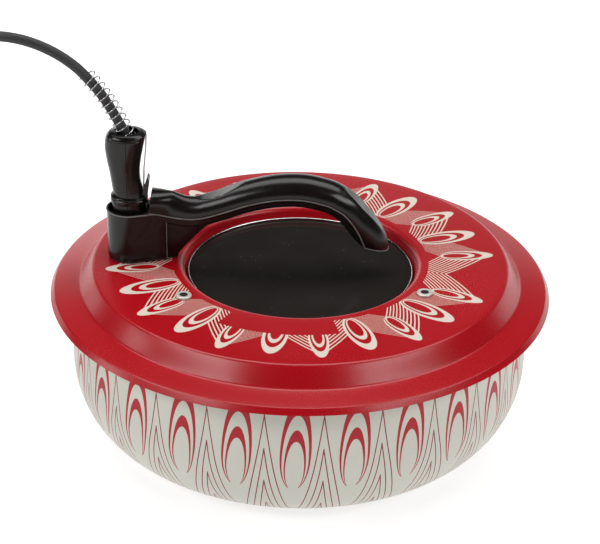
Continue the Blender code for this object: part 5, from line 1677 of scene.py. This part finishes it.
def coil_points():
    """Two layers of turns: a spiral in, a climb where it reverses, and a spiral out again above it."""
    turns = 2 * COIL_LAYER_TURNS
    radius_out = COIL_MID_RADIUS + COIL_PITCH * COIL_LAYER_TURNS / 2
    points = [Vector((COIL_CENTRE.x + radius_out, COIL_RUN, COIL_LEVEL))]
    for number in range(turns * COIL_TURN_POINTS + 1):
        turn = number / COIL_TURN_POINTS
        from_reverse = abs(turn - COIL_LAYER_TURNS)
        radius = radius_out - COIL_PITCH * (COIL_LAYER_TURNS - from_reverse)
        climb = min(1.0, max(0.0, (turn - COIL_LAYER_TURNS) / COIL_CLIMB_TURNS + 1 / 2))
        climb = climb * climb * (3 - 2 * climb)
        angle = -FULL_TURN * turn
        arm = Vector((math.cos(angle), math.sin(angle))) * radius
        level = COIL_LEVEL + COIL_PITCH * climb
        points.append(Vector((COIL_CENTRE.x + arm.x, COIL_CENTRE.y + arm.y, level)))
    points.append(Vector((COIL_CENTRE.x + radius_out, -COIL_RUN, COIL_LEVEL + COIL_PITCH)))
    return points


def lead_stretch(name, node, points):
    """One stretch of the lead, in the place of a CAD node, which is hidden."""
    radius = settings("cake_lead").radius
    piece = tube(name, points, radius, "sheath")
    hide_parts(node)
    return piece


class CAKE_OT_leads(bpy.types.Operator):
    """Makes the mains lead: up from the connector, down beside the pan, its coil and the tail to the plug"""

    bl_idname = "cake.leads"
    bl_label = "Mains lead"

    def execute(self, context):
        routes = (UPPER_ROUTE, LOWER_ROUTE, TAIL_ROUTE)
        upper_points, lower_points, tail_points = (smooth_route(route, CORD_STEP) for route in routes)
        upper = lead_stretch("lead_upper", "cord_upper", upper_points)
        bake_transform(upper)
        lower = lead_stretch("lead_lower", "cord_lower", lower_points)
        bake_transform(lower)
        coil = lead_stretch("lead_coil", "cord_coil", coil_points())
        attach(coil, "pan")
        tail = lead_stretch("lead_tail", "cord_tail", tail_points)
        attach(tail, "pan")
        return {"FINISHED"}


# Finishes of the CAD nodes that stay, and how the names of these nodes start
INNER_FINISHES = {
    "aluminium": ("heat_reflector", "reflector_spacer"),
    "element": ("heating_element",),
    "bright": ("element_clip", "lid_nut", "housing_screw", "earth_spring", "connector_screw", "plug_earth"),
    "brass": ("element_terminal", "inlet_pin", "contact_tube", "plug_pin"),
    "ceramic": ("element_bead", "inlet_block"),
    "sleeve": ("lead_",),
    "silicone": ("coil_tie",),
}


class CAKE_OT_inner_parts(bpy.types.Operator):
    """Gives the inner parts, which keep their CAD shapes, their finishes"""

    bl_idname = "cake.inner_parts"
    bl_label = "Inner parts"

    def execute(self, context):
        for name, starts in INNER_FINISHES.items():
            dress(name, starts)
        return {"FINISHED"}


# Stage: floor, lights, world and camera
AIM = Vector((0.0, 0.0, 0.0970))
SENSOR = 36.0
SHIFT = (-0.00015, 0.01955)
CLIP_START = 0.05
FLOOR_HALF = 20.0
FLOOR_DROP = 0.0002
WORLD_STRENGTH = 0.03
SOFTBOX_DISTANCE = 1.6
# Softboxes: name, direction, width, height and radiance
SOFTBOXES = (
    ("softbox above", (0.0, 0.21, 0.98), 2.60, 0.90, 3.9),
    ("softbox front left", (-0.642, -0.458, 0.615), 1.00, 0.38, 7.4),
    ("softbox right", (0.650, -0.440, 0.600), 1.05, 0.38, 6.6),
    ("softbox left", (-1.0, -0.10, 0.30), 0.40, 0.30, 5.0),
    ("softbox back left", (-0.760, 0.640, 0.06), 0.80, 0.25, 1.4),
    ("panel back left", (-0.33, 0.90, 0.27), 0.60, 0.36, 1.3),
    ("softbox back right", (0.760, 0.660, 0.06), 0.80, 0.25, 1.4),
    ("white backdrop", (0.0, 0.981, 0.195), 3.20, 0.60, 0.88),
)


def add_floor():
    mesh = bpy.data.meshes.new("floor")
    signs = ((-1, -1), (1, -1), (1, 1), (-1, 1))
    corners = [(x * FLOOR_HALF, y * FLOOR_HALF, -FLOOR_DROP) for x, y in signs]
    mesh.from_pydata(corners, [], [(0, 1, 2, 3)])
    paint(add_object("floor", mesh), "floor")


def add_softbox(name, direction, width, height, radiance):
    light = bpy.data.lights.new(name, "AREA")
    light.shape = "RECTANGLE"
    light.size = width
    light.size_y = height
    light.energy = math.pi * radiance * width * height
    obj = add_object(name, light)
    arm = Vector(direction).normalized()
    obj.location = AIM + arm * SOFTBOX_DISTANCE
    obj.rotation_euler = (-arm).to_track_quat("-Z", "Y").to_euler()


def add_camera():
    options = settings("cake_stage")
    data = bpy.data.cameras.new("camera")
    data.sensor_width = SENSOR
    data.lens = options.lens
    data.shift_x, data.shift_y = SHIFT
    data.clip_start = CLIP_START
    camera = add_object("camera", data)
    level = math.cos(options.elevation)
    arm = Vector((
        math.sin(options.azimuth) * level,
        -math.cos(options.azimuth) * level,
        math.sin(options.elevation),
    ))
    camera.location = AIM + arm * options.distance
    look = (-arm).to_track_quat("-Z", "Y").to_matrix().to_4x4()
    camera.matrix_world = Matrix.Translation(camera.location) @ look @ Matrix.Rotation(options.roll, 4, "Z")
    bpy.context.scene.camera = camera


def add_world():
    world = bpy.data.worlds.new("studio")
    world.use_nodes = True
    background = world.node_tree.nodes["Background"]
    background.inputs["Color"].default_value = (1.0, 1.0, 1.0, 1.0)
    background.inputs["Strength"].default_value = WORLD_STRENGTH
    bpy.context.scene.world = world


class CAKE_OT_stage(bpy.types.Operator):
    """Sets up the pale floor, the soft lights, the world and the camera"""

    bl_idname = "cake.stage"
    bl_label = "Stage"

    def execute(self, context):
        context.scene.view_settings.view_transform = "Standard"
        add_floor()
        add_world()
        for softbox in SOFTBOXES:
            add_softbox(*softbox)
        add_camera()
        return {"FINISHED"}


# Panel and registration
OPERATORS = (
    CAKE_OT_stage,
    CAKE_OT_plug,
    CAKE_OT_leads,
    CAKE_OT_spring,
    CAKE_OT_connector,
    CAKE_OT_handle,
    CAKE_OT_lid,
    CAKE_OT_screws,
    CAKE_OT_window,
    CAKE_OT_pan,
    CAKE_OT_inner_parts,
)


class CAKE_PT_panel(bpy.types.Panel):
    bl_idname = "CAKE_PT_panel"
    bl_label = "Cake Maker"
    bl_space_type = "VIEW_3D"
    bl_region_type = "UI"
    bl_category = "Cake Maker"

    def draw(self, context):
        for operator in OPERATORS:
            self.layout.operator(operator.bl_idname)
        for name, group in SETTINGS.items():
            box = self.layout.box()
            for title in group.__annotations__:
                box.prop(getattr(context.scene, name), title)


def register():
    for name, group in SETTINGS.items():
        bpy.utils.register_class(group)
        setattr(bpy.types.Scene, name, PointerProperty(type=group))
    for operator in OPERATORS:
        bpy.utils.register_class(operator)
    bpy.utils.register_class(CAKE_PT_panel)


def unregister():
    bpy.utils.unregister_class(CAKE_PT_panel)
    for operator in reversed(OPERATORS):
        bpy.utils.unregister_class(operator)
    for name, group in SETTINGS.items():
        delattr(bpy.types.Scene, name)
        bpy.utils.unregister_class(group)


def main():
    register()
    for operator in OPERATORS:
        area, name = operator.bl_idname.split(".")
        getattr(getattr(bpy.ops, area), name)()


if __name__ == "__main__":
    main()
